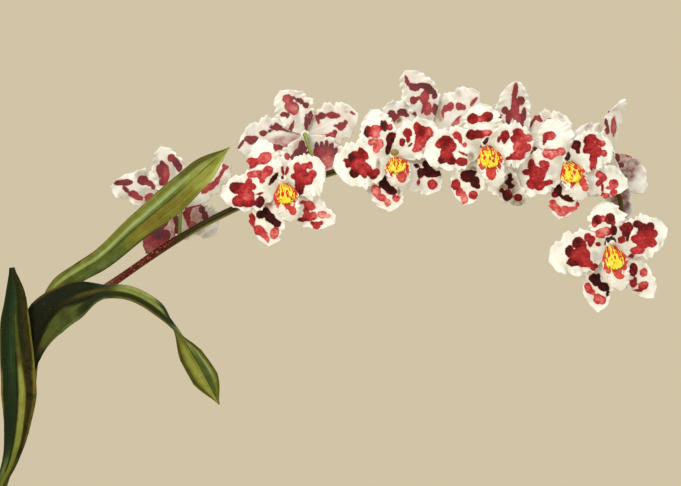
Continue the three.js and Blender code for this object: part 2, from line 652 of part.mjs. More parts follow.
addNode('pot', pot(), 0xb5714b, 0.85);
drainAngles().forEach((angle, i) => addNode(`crock_${i + 1}`, crock(angle, false), 0xa8623f, 0.9));
addNode('compost', cut(compost(), [...crockRooms, rhizomeRoom]), 0x3f2c1d, 0.95);
const mossRooms = [rhizomeRoom, ...bulbRooms, ...sheathRooms, leafRoom.leaf_front, solid(stemRoom)];
addNode('moss', cut(moss(), mossRooms), 0x8c9a45, 0.95);
addNode('rhizome', rhizome(0), 0x7a6a3c, 0.8);
BULBS.forEach((form, i) => {
  const leafSockets = i === 0 ? [leafRoom.leaf_arching, leafRoom.leaf_upper] : [];
  addNode(form.name, cut(bulb(form), leafSockets), 0x6d7a35, 0.45);
});
BULBS.forEach((form, i) => {
  addNode(`sheath_${i + 1}`, sheath(form, form.sheathSide), 0xb59a6a, 0.8);
});
Object.entries(LEAVES).forEach(([name, form]) => addNode(name, leaf(form), form.colour, 0.5));
addNode('flower_stem', flowerStem(), 0x5b3a22, 0.55);
FLOWERS.forEach((flower, i) => {
  const number = String(i + 1).padStart(2, '0');
  addNode(`bloom_${number}`, bloom(flower, i), 0xf6f1e6, 0.6);
  addNode(`lip_${number}`, lip(flower, i), 0xfaf6ec, 0.6);
  addNode(`crest_${number}`, crest(flower, i), 0xe9c22c, 0.5);
});

export default group;
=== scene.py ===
import math
import random

import bpy
from mathutils import Matrix, Vector, noise


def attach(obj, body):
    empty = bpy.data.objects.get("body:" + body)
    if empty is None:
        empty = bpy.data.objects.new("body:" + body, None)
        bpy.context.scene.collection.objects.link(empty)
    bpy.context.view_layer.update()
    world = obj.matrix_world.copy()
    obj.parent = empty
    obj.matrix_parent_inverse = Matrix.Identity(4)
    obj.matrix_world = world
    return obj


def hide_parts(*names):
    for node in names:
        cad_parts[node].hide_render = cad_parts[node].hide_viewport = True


# A crisped odontoglossum in a clay pot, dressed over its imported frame.
# Lengths are millimetres here, as they are measured on the plant, and metres in the meshes.

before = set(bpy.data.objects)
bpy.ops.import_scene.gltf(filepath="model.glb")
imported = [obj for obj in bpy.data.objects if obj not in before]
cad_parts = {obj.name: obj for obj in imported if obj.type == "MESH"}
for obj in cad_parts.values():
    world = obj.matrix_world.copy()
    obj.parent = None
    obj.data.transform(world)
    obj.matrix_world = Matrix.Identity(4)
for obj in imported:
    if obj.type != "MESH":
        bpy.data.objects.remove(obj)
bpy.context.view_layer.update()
MM = 0.001
UP = Vector((0, 0, 1))

# clay pot
POT_HEIGHT = 120
POT_TOP_RADIUS = 65
POT_FOOT_RADIUS = 46
POT_WALL = 5.5
POT_FLOOR = 7
POT_SIDES = 96
RIM_HEIGHT = 24
RIM_STEP = 3.5
RIM_ROUND = 2
DRAIN_ANGLES = [math.radians(90 + 120 * i) for i in range(3)]
DRAIN_RADIUS = 5
DRAIN_OFFSET = 25
DRAIN_SIDES = 24
DRAIN_FROM, DRAIN_TO = -8, 16
CROCKS = 3

# compost and moss
COMPOST_TOP = 106
MOSS_GAP = 0.6
MOSS_FOOT = COMPOST_TOP + 0.3
MOSS_EDGE_TOP = 113
MOSS_EDGE_BAND = 4
MOSS_EDGE_DROP = 2.5
MOSS_RISE = 9
MOSS_LUMP = 1.7
MOSS_RINGS = 40
MOSS_SIDES = 110
TUFTS = 620
TUFT_SEED = 11
TUFT_INSET = 2.5
TUFT_SINK = 0.6
TUFT_LEAVES = 9
TUFT_LEAF_HALF = 0.34
TUFT_REACH = (1.1, 2.0)
TUFT_CLIMB = (1.4, 2.6)

# pseudobulbs: foot, height, width before turning, thickness, turn and side of the sheath in degrees
BULB_FOOT_Z = COMPOST_TOP + 1.2
BULB_SIDES = 72
BULB_RINGS = 48
SHEATH_ROWS, SHEATH_COLUMNS = 36, 30
SHEATH_THICKNESS = 0.6
SHEATH_SPREAD = 62
BULBS = [
    dict(name="pseudobulb_1", x=-12, y=0, height=73, width=34, thickness=19, turn=0, sheath_side=-22),
    dict(name="pseudobulb_2", x=-31, y=22, height=62, width=31, thickness=18, turn=-38, sheath_side=150),
    dict(name="pseudobulb_3", x=-40, y=-9, height=54, width=28, thickness=17, turn=30, sheath_side=235),
]

# leaf blades
LEAF_COLUMNS = 26
LEAF_THICKNESS = 1.3
LEAF_RIM = 0.4
KEEL_DEPTH = 0.5
KEEL_WIDTH = 0.09

# flower stem, its stalks, which run out straight and end just behind each heart, and its bracts
STEM_FOOT_RADIUS = 2.8
STEM_TOP_RADIUS = 1.9
STEM_SIDES = 16
STEM_STEPS = 300
STALK_RADIUS = 1.35
STALK_FLARE = 0.35
STALK_END = 3.5
STALK_RUN = 4
STALK_SIDES = 12
STALK_STEPS = 22
BRACT_ROWS, BRACT_COLUMNS = 10, 8
BRACT_SETBACK = 6
BRACT_LENGTH = 5.4
BRACT_HALF = 2.3
BRACT_THICKNESS = 0.6

# sepals and petals
FRONT, BACK = -1, 1
PETAL_THICKNESS = 0.9
TEPAL_ROWS, TEPAL_COLUMNS = 54, 34
TEPAL_ROOT = 1.8
CLAW_HALF = 3
TIP_HALF = 0.7
MIDRIB_DEPTH = 0.35
MIDRIB_WIDTH = 0.07
RIPPLE_DEPTH = 0.7
RIPPLE_TURNS = 17
RIPPLE_LEAN = 1.7

# nicks in their margin: depth, turns from root to tip, lean by flower, and the level that is flush
NICKS = [(0.16, 12, 1.3, 0.66), (0.08, 29, 2.1, 0.62)]

SEPAL_FORM = dict(layer=-1.7, bow=0.7, tip=-4, cup=1, wave=1.2, waves=2.5)
PETAL_FORM = dict(layer=1.3, bow=2, tip=-4, cup=0.6, wave=2, waves=3.5)
TEPAL_FORMS = {
    "dorsal": dict(SEPAL_FORM, widest=1.05, full=0.6),
    "sepal": dict(SEPAL_FORM, widest=1.2, full=0.6),
    "petal": dict(PETAL_FORM, widest=1, full=0.55),
}

# hub and column: radius and length from end to end, and the tilt in degrees
HUB_SIDES = 20
HUB_PROFILE = [(0, -3.2), (2.6, -3.2), (3.2, -2.6), (3.4, -1.5), (3.4, 1.5), (3.2, 2.6), (2.6, 3.2), (0, 3.2)]
COLUMN_SIDES = 40
COLUMN_LENGTH = 13
COLUMN_TILT = 8
COLUMN_PROFILE = [
    (0, 0), (1.9, 0.2), (1.9, 3), (1.95, 6), (2.1, 8), (2.5, 9.8), (2.7, 11), (2.5, 12.1), (1.7, 12.8),
    (0, COLUMN_LENGTH),
]

# lip and crest
LIP_ROWS, LIP_COLUMNS = 44, 26
LIP_ROOT_AHEAD = 4.3
LIP_ROOT_DROP = 2.2
LIP_REACH = 6
LIP_WAIST_HALF = 3
LIP_SPREAD = 6.6
LIP_TAPER = 2.2
LIP_ARCH = 7
LIP_SIDE_LOBE = 2.8
LIP_SIDE_LOBE_AT = 0.28
LIP_SIDE_LOBE_SPAN = 0.2
CREST_ROWS, CREST_COLUMNS = 26, 42
CREST_THICKNESS = 1.6
CREST_HEIGHT = 1.45

# lobes of colour: how softly neighbours and their tones join, how far outside a lobe is told, and what
# the hub has that no lobe reaches
LOBE_JOIN = 0.25
TONE_JOIN = 1.2
FAR_OUTSIDE = -12.0
UNPAINTED = -9.0


def dorsal(x, z, width, **more):
    return dict(kind="dorsal", x=x, z=z, width=width, **more)


def petal(x, z, width, **more):
    return dict(kind="petal", x=x, z=z, width=width, **more)


def sepal(x, z, width, **more):
    return dict(kind="sepal", x=x, z=z, width=width, **more)


# each flower as on the frame, with the marks of each tepal in turn: where a lobe of colour lies, right of
# and above the flower's heart, its half width and half height, its turn in degrees and its tone, from
# nearly black (0) over crimson (0.5) to pale rose (1); tints are soft washes in the same way, the greyish
# ones painted shade and the others partly the petals' own colour and partly painted shade; the heart,
# crest and lip marks lie on what is in front there, and the nearly black heart marks about the column
# are painted shadow
FLOWERS = [
    dict(
        at=(127.5, 21, 403.5), faces=BACK, stem_x=127, lip=(5, -24),
        tepals=[
            dorsal(-15, 47, 26, lift=-2), petal(-53, 16, 28, lift=-5, bend=-7),
            petal(38, 31, 28, lift=-1, bend=6), sepal(-26, -34, 23, lift=-6),
            sepal(27, -20, 24, lift=-5, bend=3),
        ],
        marks=[
            [(-15.5, 28.5, 2.4, 4.5, 0, .25), (-14, 20, 2.2, 2.6, 0, .2), (-12, 26, 3, 7, 0, .7),
             (-14, 34.3, 1.4, 1.2, -30, .1), (-7, 38, 2.6, 2.6, 0, .5), (-3.5, 34.5, 2.4, 4, 30, .3),
             (-1.5, 31, 2, 2.6, 0, .35)],
            [(-46, 19.3, 3.5, 1.6, 0, .3), (-41.5, 19.5, 4, 2, 0, .35), (-42, 14.5, 2, 1, -40, .3),
             (-29, 21, 3.8, 3.4, 0, .3), (-24, 19, 3.6, 2, -25, .5), (-21, 15.5, 1.2, 1, 0, .5),
             (-36, 11, 3, 2, 0, .5), (-33, 8.5, 4, 1.8, -20, .6), (-24, 8, 3.4, 3, 30, .75)],
            [(18, 14, 3, 1.8, 40, .7), (23, 17, 3.4, 2.2, 45, .65), (27, 20.5, 1.4, 3, -25, .6),
             (30.5, 26, 1, 4, -30, .65), (34, 32, 2.2, 2.2, 0, .65), (7.5, 36.5, 2, 1.8, 20, .6)],
            [(-19, -19, 7, 5, 30, .08), (-11, -20, 3, 3.5, 0, .3), (-4, -8, 1.5, 3, 0, .15),
             (-3, -15, 1.4, 6, -5, .15), (-14, -12, 3, 6, -40, .2), (-24, -23, 5, 5, 0, .5),
             (-22, -29, 6, 6, 0, .82), (-14, -26, 5, 3, 30, .75)],
            [(5, 0, 3.4, 6, -20, .42), (10, 4, 5, 3, 0, .4), (15.6, -1, 2, 2.6, 0, .12),
             (4, -8, 3, 6, 0, .55), (18.4, -6, 2, 3, 0, .25), (8, -13, 4, 3, 0, .8)],
        ],
        tints=[[(-7, 31, 4, 9, "grey"), (-19, 33, 3, 8, "grey")],
               [(-30, 25, 5, 4, "grey"), (-24, 12, 9, 4, "grey")], [],
               [(-12, -15, 14, 14, "mauve"), (-21, -29, 14, 14, "mauve")], [(9, -6, 12, 12, "mauve")]],
    ),
    dict(
        at=(205.5, -22, 423.5), faces=FRONT, stem_x=194, lip=(6, -31),
        tepals=[
            dorsal(-18, 32, 24, bend=6), petal(-47, -11, 29, lift=-1, bend=2),
            petal(31, 11, 34, lift=2, bend=-3), sepal(-11, -49, 27, bend=-6),
            sepal(39, -32, 24, lift=2, bend=-6),
        ],
        marks=[
            [(-23.8, 13.5, 4.2, 3.8, 0, .55), (-13.8, 17, 5, 4, 35, .75), (-19, 14.5, 2.5, 2, 0, .7)],
            [(-35.5, -5, 4.3, 4, 0, .22), (-30.5, -6.5, 4, 5, 30, .62), (-27, -12, 5.5, 4.6, 35, .66),
             (-33, -15, 4.6, 3.8, 0, .4), (-26, -16.5, 5, 2.6, 0, .4), (-31, -17.5, 3, 1.2, 0, .1),
             (-25.7, -1.8, 2.4, 3.4, 0, .6), (-22.7, -4, 2.6, 1.8, -30, .55), (-25, -5.5, 1.6, 1.8, 0, .55),
             (-17.3, -15.5, 2.8, 4, -15, .15), (-18.5, -9.7, 2.2, .6, 15, .5)],
            [(10.5, 9.8, 2.5, 3.4, 0, .6), (15.8, 10.8, 2.6, 2.2, 0, .62), (19.5, 11.4, 1.8, 2.2, 0, .62),
             (21.7, 5, 2.8, 2.8, 0, .64), (13, 4, 5, 5.6, 0, .5), (18, .6, 4, 3.6, 0, .6),
             (12, -4, 3.4, 4.6, 0, .3), (8.6, 3.6, 2.4, 2, 0, .45), (12.5, -8, 1.8, 2.4, 0, .25),
             (8, -7.6, 3.2, 1.7, -25, .15), (5.6, -6, 1, 1, 0, .2)],
            [(-17, -25, 3, 2.8, 0, .05), (-13, -23.5, 2.8, 3.6, 20, .05), (-10, -27.3, 3.6, 3.2, -30, .08),
             (-5.5, -31, 3.8, 2.5, -30, .05), (-24, -28.5, 2.7, 4.3, 10, .6),
             (-18.5, -36.8, 4.6, 3.4, -20, .65), (-14.3, -40, 2.4, 2.4, 0, .7), (-6.7, -39, 3, 4, -15, .8),
             (-12.3, -43, 1.4, 2.4, 20, .8)],
            [(19.5, -18.3, 4, 2.9, -30, .72), (14.5, -15.7, 1.8, .9, 0, .7), (17, -22.5, 1.9, 2.4, 0, .62),
             (18, -26.8, 3.4, 3, 0, .66), (22.3, -26, 2.4, 2.8, 0, .72), (13.8, -28.8, 2.2, 1.3, 0, .2),
             (28.8, -25, 3, 2.4, 0, .85), (33, -26, 1.6, 1, 0, .9), (24.5, -33.2, 2.4, 2.6, 0, .55),
             (27.5, -31.5, 1.8, 1.2, 20, .6), (21.6, -31.5, 1.2, 1, 0, .3)],
        ],
        tints=[[], [], [], [(-11, -19, 3, 4, "mauve")], [(8, -27, 2, 3, "grey")]],
        heart_marks_and_shadow=[(-7.4, 1.5, 1.3, 4.1, -35, 0), (-.6, 2.2, .8, .9, 0, .05), (1.1, 8, 2.7, 3.4, 0, .52),
                     (-21.5, 5, 4.8, 2.2, 5, .75), (-16, 4.2, 3.5, 3, 0, .72), (-16, .4, 1.8, 2, 0, .72),
                     (-11.5, 7.6, 3.5, 3.4, 50, .66)],
        crest_marks=[(-4, -5, .7, 1.3, -20, .72), (-7, -11, .6, 1.5, -25, .6), (-5, -9, .6, 1.2, -15, .7),
                     (-3, -11, .6, 1.4, 0, .7), (-.5, -10.5, .6, 1.6, 5, .66), (3.2, -10.5, .7, 2, 25, .6),
                     (6, -13, .6, 1.2, 35, .66)],
        lip_marks=[(3, -17.5, 2, 3.2, 20, .75), (6.9, -22, 2.2, 2.8, 20, .82), (-4.5, -17, 1.1, 3, 5, .72),
                   (-7, -13, .9, 1.8, -20, .6), (2.5, -8, .8, 2.6, 25, .6), (6.5, -14.3, 1.8, .6, -25, .6)],
    ),
    dict(
        at=(221.3, 21, 459), faces=BACK, stem_x=231, lip=(3, -26),
        tepals=[
            dorsal(-19, 33, 29, lift=-1, bend=-3), petal(-51, -11, 32, lift=-6, bend=-4),
            petal(40, 16, 31, lift=-4), sepal(-12, -33, 25, lift=-5), sepal(26, -25, 26, lift=-6),
        ],
        marks=[
            [(-13.3, 27.3, 3.6, 3, 0, .72), (-12, 22, 3, 4, -15, .7), (-8.5, 20, 3.4, 4.4, 0, .78),
             (.6, 22.5, 1.9, 1.7, 0, .1), (-3, 25.3, 3, 1.2, -35, .2), (-6.6, 26.5, 2, .7, -40, .15),
             (4.2, 12.5, 2, 4.3, 0, .35), (.8, 9, 1.2, 4.8, 0, .15), (-16, 15.5, 2.2, 1.7, 0, .4),
             (-13, 14.6, .9, 1.6, -20, .2), (-10, 6.5, 1.2, 3.3, -20, .4)],
            [(-39.5, -4, 3.8, 2.4, 30, .35), (-43, -3, 2.4, 1.8, 30, .4), (-48, -7, .7, 2.6, -35, .3),
             (-32, 1.2, 2.4, 2, 0, .4), (-21.5, 5.5, 4, 2, 0, .4), (-22, 7.6, 1.3, 1.4, 0, .3),
             (-27, 2.8, 2, .5, 25, .1), (-16.5, 4, 3.6, .5, -20, .1), (-23.6, -9.5, 2.8, 2.4, 0, .45),
             (-19.4, -9.4, 2.5, 1.8, 0, .45)],
            [(12.5, 14.5, 2.8, 2.4, 10, .35), (9.4, 11.5, .9, 3, 15, .6), (20, 15, 3.4, 2.2, 0, .4),
             (24, 14.4, 2.2, 1.3, 0, .6), (36, 16.4, 1.2, .7, -30, .6), (27.5, 6.6, 2.8, 2.5, 25, .45),
             (24.4, 7, 1.4, .7, 0, .4), (30.6, 9.5, 1.1, 1.3, 0, .4), (20, -.5, 3.2, 2, 20, .7),
             (22.6, 2, 1.5, 1.5, 0, .4), (14.5, -.5, 2.8, .7, 10, .8)],
            [(-2.5, -9, 2.4, 4.8, 0, .15), (-5, -14.5, 3.6, 4, 0, .25), (0, -13, 2.6, 3.6, 0, .2),
             (-8, -17, 2.6, 2.6, 0, .4), (-2.5, -18, 2.6, 2, 0, .35), (-13.6, -16.4, 1.6, 2.2, 0, .7)],
            [(9, -9, 1.2, 2.6, 10, .1), (12.4, -8.6, 1.1, 2.8, 0, .1), (16.2, -8.6, 1.2, 3, -5, .08),
             (19.6, -9.6, 1.4, 2.8, -15, .08), (22.8, -12.6, 1.6, 2.6, -20, .12), (12, -13, 5.4, 4.4, 0, .5),
             (17.4, -14, 5, 4.6, 0, .52), (16, -20, 7, 5, 0, .82)],
        ],
        tints=[[(-7, 12, 3.4, 7, "grey")], [(-14, -6, 14, 6, "mauve")], [(31, 17.5, 2, 1, "grey")],
               [(-4, -12, 6, 8, "mauve")], [(15, -18, 13, 12, "mauve")]],
    ),
    dict(
        at=(288, -22, 443), faces=FRONT, stem_x=276, lip=(6, -24), olive_cap=1.0,
        tepals=[
            dorsal(-17, 34, 27, bend=3.5), petal(-46, -9, 36, lift=1, bend=2), petal(32, 22, 31),
            sepal(-3, -43, 28, bend=-5), sepal(35, -26, 27, lift=-3),
        ],
        marks=[
            [(-20, 17, 2.2, 3.8, -10, .05), (-14, 18.5, 4.3, 3.1, 15, .85), (-7.5, 21.5, 2.4, 3.8, 15, .12),
             (-3.2, 20.3, 1.8, 2, 0, .8), (-15, 14.6, 3.4, 2, -10, .75)],
            [(-30.6, -2, 3.6, 3.6, 0, .1), (-29, 0, 2.8, 2.4, 0, .5), (-34.4, -6.6, 2, 2.8, 0, .35),
             (-36.4, -4, 1.1, .7, 0, .4), (-27, -6.5, 5, 5.4, -35, .6), (-22.4, -11, 5.2, 4.6, 0, .6),
             (-18.4, -13, 2.8, 2.8, 0, .38), (-22.2, -16, 1.5, 1.8, 0, .55),
             (-29.6, -13.6, 3.6, 3.2, 0, .12), (-24.2, 2, 2, 3, 20, .2), (-21.6, -1, 2, 3, 30, .5),
             (-14, -13.5, 3.2, 2.2, 45, .55), (-15.6, -16.6, 2, 1.5, 0, .1)],
            [(17, 20, 2.3, 3.8, 0, .6), (20, 17, 4.2, 4.4, 0, .3), (25, 16.2, 3.6, 4, 0, .65),
             (20.4, 11, 4.6, 5.4, 0, .6), (17.6, 5.8, 2.8, 3.4, -30, .68), (15, 3.2, 1.5, 1.3, 0, .68),
             (9.8, 16, 3.1, 3.1, 0, .55), (10.3, 11.8, 1.2, 2.5, 0, .3), (6, 9.3, 1.7, 2.6, 0, .4),
             (11.5, 7, 1.2, .5, 45, .3)],
            [(-8.5, -18.5, 2.4, 4.3, 0, .03), (-7, -22.5, 4.1, 2.8, -20, .05),
             (-2.5, -26.4, 4.2, 2.8, -25, .05), (-13.5, -27, 3.3, 4.2, 30, .8),
             (-9.5, -32, 3.5, 2.4, -30, .8), (-5, -35.5, 2.2, 2.2, 0, .82), (1.5, -32.4, 2.6, 2, 0, .8)],
            [(16.6, -8.2, 1.7, 1.2, -30, .1), (19.5, -13.5, 2.4, 3.2, 0, .1),
             (26, -12.6, 4.4, 3.8, -25, .05), (31.5, -14, 2.8, 2, 0, .12), (24, -7.2, 3.3, 2.3, -35, .02),
             (28.5, -22, 3.3, 3.5, 0, .6), (18, -20.5, .8, 1.7, 0, .6)],
        ],
        tints=[[], [(-12, -8, 1.6, 5, "olive")], [(24, 4, 6, 3, "grey")],
               [(-18, -28, 3, 4, "grey"), (3.4, -29, 1.4, 5, "olive")], [(18, -4, 6, 4, "grey")]],
        heart_marks_and_shadow=[(-2.8, 12, 2.8, 4.2, -12, .08), (-.8, 14.4, 1.8, 2.2, 0, .4),
                     (-4.4, 5, 1.7, 4.2, -14, .04), (-16.5, 9.4, 3, 2.3, 20, .82),
                     (-11.5, 8, 3.2, 3.2, 0, .84), (-13.5, 4.6, 2.2, 2.8, 0, .84)],
        crest_marks=[(-4, -8, .6, 1.4, -15, .66), (0, -7, .6, 1.5, 0, .62), (3, -7, .6, 1.5, 10, .62),
                     (6, -6, .7, 1.4, 25, .66), (1.6, -11, .6, 1.4, 5, .7)],
        lip_marks=[(5.5, -16.5, 3.1, 3.7, 0, .76), (-2.3, -12.5, 1.4, 2.2, 10, .72),
                   (9.6, -11, 1, 2.8, 10, .72), (-5.5, -6, 1, 3.4, 10, .6), (8.4, -4.5, 1, 3.6, -10, .62),
                   (2.4, 5, 1.6, 1.8, 0, .7)],
    ),
    dict(
        at=(316.5, 21, 466.5), faces=BACK, stem_x=322, lip=(2, -27),
        tepals=[
            dorsal(-20, 41, 27, lift=-5, bend=-3), petal(-37, 12, 26, lift=-1), petal(37, 24, 28, lift=-3),
            sepal(-16, -34, 25, lift=-3), sepal(19, -34, 25, lift=-3),
        ],
        marks=[
            [(-13, 28.4, 3.8, 2.4, -20, .3), (-6, 29.5, 4.6, 1.8, -5, .15), (-1, 26.6, 4.2, 2.2, -35, .15),
             (2.5, 22, 1.6, 2.2, 0, .1), (-18.4, 33, 1.1, 3.2, 20, .6), (-5, 21, 2.8, 4.6, -10, .78),
             (-3, 12, 3, 4.6, 0, .7), (-5, 16, .8, 5.6, -15, .3), (3, 11.5, 2, 3.8, 0, .3),
             (-13.5, 18.5, 2.4, 2.6, 0, .4), (-10, 20, 1.4, 1.1, 0, .6), (-12.5, 8, 1.7, 1.4, -45, .25)],
            [(-30, 8, 2.8, 2.8, 0, .35), (-22, 9.8, 3.4, 2.4, 0, .2), (-19, 7.6, 1.8, 1.4, -30, .25),
             (-28, 5, 1.4, 1.8, 0, .35), (-26, 6.4, 1.6, 1.4, 0, .6)],
            [(14.5, 14, 2.1, 2.7, -20, .6), (11, 12.4, 1.8, 2.2, 0, .6), (8.8, 9, .7, 1.8, 0, .7),
             (20.8, 13.8, 1.7, 2.7, 0, .55), (24, 13.5, 1.8, 1.7, 0, .6), (32, 17.5, .9, 2.6, -35, .65),
             (18.5, 1.5, 3, 1.2, 35, .9), (21, 5.5, 2, .5, 40, .8)],
            [(-7, -16, 3.4, 4.4, 0, .15), (-11, -21, 3, 3, 0, .4)],
            [(8, -16, 3.4, 4.4, 0, .15), (13, -22, 3, 3, 0, .4)],
        ],
        tints=[[(-7, 11, 4, 5, "grey"), (-2.5, 5, 2, 4, "grey")], [(-26, 4, 4, 3, "olive")],
               [(7, 7, 2.4, 5, "tan")], [], []],
    ),
    dict(
        at=(355.5, -31, 451), faces=FRONT, stem_x=345, lip=(9, -33),
        tepals=[
            dorsal(-4, 30, 28), petal(-46, -9, 32, lift=-1, bend=-1), petal(36, 2, 33, bend=-2),
            sepal(-16, -46, 26, bend=-4), sepal(30, -46, 22, lift=-7, bend=-5),
        ],
        marks=[
            [(-9, 18.5, 3.9, 3.7, 0, .33), (-3.6, 18.4, 2.5, 2.2, 0, .78), (1.5, 19.8, 4.1, 3.3, 15, .33)],
            [(-29.5, 1.6, 5, 4, 0, .25), (-33.8, -.6, 2.8, 2.7, 0, .5), (-24.6, -2, 2.8, 3.2, 0, .55),
             (-29, -6.5, 4.1, 3.6, 0, .6), (-32, -12, 2.8, 2.6, 0, .1), (-25.5, -12.6, 3.2, 2.9, 0, .28),
             (-29, -9.8, 4.6, 2.6, 0, .55), (-21, 6, 3.1, 2.2, -30, .65), (-19, 3.2, 1.1, 2.8, 15, .65),
             (-17.5, -13.5, 3.5, 2.9, 0, .45), (-15.4, -.8, 1.2, 1.3, 0, .7),
             (-17.5, -7, 2.2, .5, -25, .45)],
            [(14.5, 6, 3.1, 3.5, 0, .36), (13.8, 2.6, 1.5, 2.2, 0, .36), (24, 8, 3.7, 3.1, 0, .45),
             (21.5, 3.5, 2.9, 2.7, 0, .35), (26, 3, 4.6, 4.6, 0, .68), (32, 4, 2.7, 2.4, 0, .9),
             (26, -3, 5.4, 4.6, 0, .7), (31, -3, 3, 2.7, 0, .65), (22, -9, 4.1, 2.5, 20, .6),
             (18, -10.8, 2.2, .9, 10, .3), (25.6, -9, 3, 3, 0, .62), (9.8, 3, .8, 1.3, 0, .3)],
            [(-13.5, -24, 4.6, 4.2, 0, .1), (-7.5, -28.5, 3.1, 3.7, 0, .12), (-10, -21.5, 2.8, 1.8, 0, .1),
             (-5.5, -31.5, 1.5, 1.6, 0, .1), (-22, -30.5, 3.1, 3.7, 0, .5),
             (-19.4, -35.6, 2.3, 2.7, -30, .62), (-15.5, -40.4, 2.3, 4.2, 10, .86),
             (-9, -38, 3.1, 2.9, 0, .6)],
            [(18, -23.5, 1.4, 2, 0, .05), (18, -27, 2.2, 1.2, 20, .08), (17.6, -29.6, 2.6, 1.2, -20, .08),
             (18.6, -32, 2, 1, 20, .08), (16.4, -38, 3.4, 3.7, 0, .16), (12.2, -34.4, 1.4, 1.4, 0, .1),
             (24.6, -39.6, 2.8, 2.5, 0, .34)],
        ],
        tints=[[], [(-11, -10, 2.4, 4, "olive")], [], [(-9, -19, 3, 3, "olive")],
               [(17, -33, 8, 10, "olive"), (24, -42, 7, 5, "olive"), (20.6, -37, 1.6, 5, "olive")]],
        heart_marks_and_shadow=[(-.4, 1.2, 1, 3.2, -35, 0), (-10.4, 6.6, 3.9, 3.4, 0, .3), (-5, 7, 4.2, 2.7, 0, .45),
                     (1.5, 8, 3.2, 1.9, 0, .97)],
        crest_marks=[(-1, -11, .8, 1.3, -10, .6), (3, -11.5, .8, 1.4, 5, .6), (6, -10, .7, 1.3, 20, .66),
                     (5.6, -13.5, .7, 1.2, 20, .62), (1.4, -4, 1.5, 2.2, 0, .84)],
        lip_marks=[(3.7, -21.5, 3.2, 5, 0, .76), (-2.7, -16.5, 1.8, 2.4, 0, .8),
                   (9.4, -16.2, 1.1, 2.2, 15, .75), (-6.4, -7.6, 1.1, 3.2, 10, .58),
                   (9.4, -7.4, 1, 3.4, -5, .58), (-.5, -3, 1.2, 2.4, 0, .85)],
    ),
    dict(
        at=(387.8, 21, 459), faces=BACK, stem_x=392, lip=(2, -26),
        tepals=[
            dorsal(-8, 41, 25, lift=-5, bend=5), petal(-29, 19, 28), petal(35, 8, 29, lift=-4),
            sepal(-13, -30, 24, lift=-2), sepal(16, -30, 24, lift=-2),
        ],
        marks=[
            [(-8.5, 31, 1.7, 6.4, -5, .62), (-8, 20, 2.7, 7.4, 0, .68), (-5.4, 11.4, 3.3, 4.6, 0, .64),
             (-7.2, 34, .8, 2.4, -10, .3), (-3, 25.5, 1.8, 2.8, 0, .35), (-5.2, 25.5, .8, 2.2, 0, .15),
             (-15.5, 18.5, 2.4, 2.4, 0, .35), (-12.5, 14, 2.2, 4.6, -15, .35), (-13, 9.5, 1.1, 1.5, 0, .1),
             (-1.6, 15, 1.6, 4.6, -5, .25), (-3, 10.5, 1.3, 3.6, 0, .3)],
            [(-18, 13, 3.6, 3.6, 0, .4), (-11, 6, 2, 2, 0, .3)],
            [(4, 9, 1.5, 2.8, -20, .45), (6.5, 13, 1.5, 2.6, -20, .45), (9.5, 13, 1.5, 2.4, 35, .45),
             (11.5, 10.8, 1.1, .9, 0, .4), (17.5, 10.5, 2.2, 1.5, 0, .45), (20, 8.5, 1.9, 1.4, -35, .4),
             (22.5, 6.5, 1.5, .7, 20, .35)],
            [(-6, -14, 3.2, 4.2, 0, .15), (-9, -20, 2.8, 2.8, 0, .4)],
            [(7, -14, 3.2, 4.2, 0, .15), (11, -20, 2.8, 2.8, 0, .4)],
        ],
        tints=[[(-19, 11, 2.6, 6, "tan"), (-7, 20, 3.6, 12, "grey")], [], [(1.5, 5, 4, 3, "grey")], [], []],
    ),
    dict(
        at=(416.5, -22, 439.5), faces=FRONT, stem_x=406, lip=(11, -31),
        tepals=[
            dorsal(-15, 30, 27), petal(-43, -18, 33, lift=-2, bend=1), petal(35, 9, 30, bend=2),
            sepal(-5, -45, 24, bend=2), sepal(46, -21, 26, bend=-3),
        ],
        marks=[
            [(-13, 17.5, 4.3, 2.9, 10, .62), (-16.4, 14, 1.1, 2.6, -15, .35)],
            [(-26.5, -4.5, 2.4, 4.2, 0, .4), (-29.3, -9.6, 3.2, 1.8, 0, .4), (-24, -10, 4.4, 5, 0, .5),
             (-19.6, -11.6, 2.8, 4.2, 0, .5), (-26, -18, 3.7, 3.7, 0, .5), (-20.6, -19.4, 3.4, 3.4, 0, .5),
             (-14.8, -17.4, 3.8, 1.6, 10, .48), (-23, -14.4, 4.4, 3.6, 0, .52),
             (-17, -3.4, 3.3, 2.5, -25, .62), (-15.2, -6.8, 1.1, 2, 0, .5)],
            [(6.7, 10.6, 3.5, 3.4, 0, .14), (8, 7, 1.3, 2, 0, .14), (15.5, 14, 3.2, 3.4, 0, .4),
             (18.5, 16.4, 2.7, 2.3, 0, .5), (21.6, 13, 2.8, 2.7, 0, .55), (26, 11.5, 2.2, 1.9, 0, .72),
             (17, 8.6, 4.4, 4.1, 0, .55), (13.7, 7, 1.8, 2.4, 0, .4), (22, 5.6, 3.6, 3.6, 0, .55),
             (27.4, 4.4, 2.1, 2.1, 0, .68), (19.4, 0, 2.7, 4.2, 0, .58), (19, -5.5, 2, 3.2, 0, .62)],
            [(-8.2, -18, 1.7, 3, 15, .03), (-6.6, -22.6, 2.8, 3.7, 0, .05), (-9, -26, 2.2, 1.8, 0, .42),
             (2, -29, 3.9, 2.3, -15, .04), (-3.4, -27.8, 1.6, .9, -40, .05), (-11, -33, 2.8, 2.8, 0, .76),
             (-8, -36, 3.4, 2.3, -20, .8), (-1, -37.4, 3.7, 2.7, 0, .82), (-3.6, -40, 3, 1.8, 0, .8),
             (5, -37, 2.6, 1.5, -10, .8), (8, -34.5, 1.2, 2, 0, .85)],
            [(24.5, -11.5, 2.8, 2.3, -30, .72), (27, -13.6, 2.5, 2.7, 0, .7),
             (23.5, -17.5, 1.6, 2.2, -20, .6), (26.6, -21.5, .7, 2.6, 0, .4), (34.8, -18, 3.1, 3.1, 0, .65),
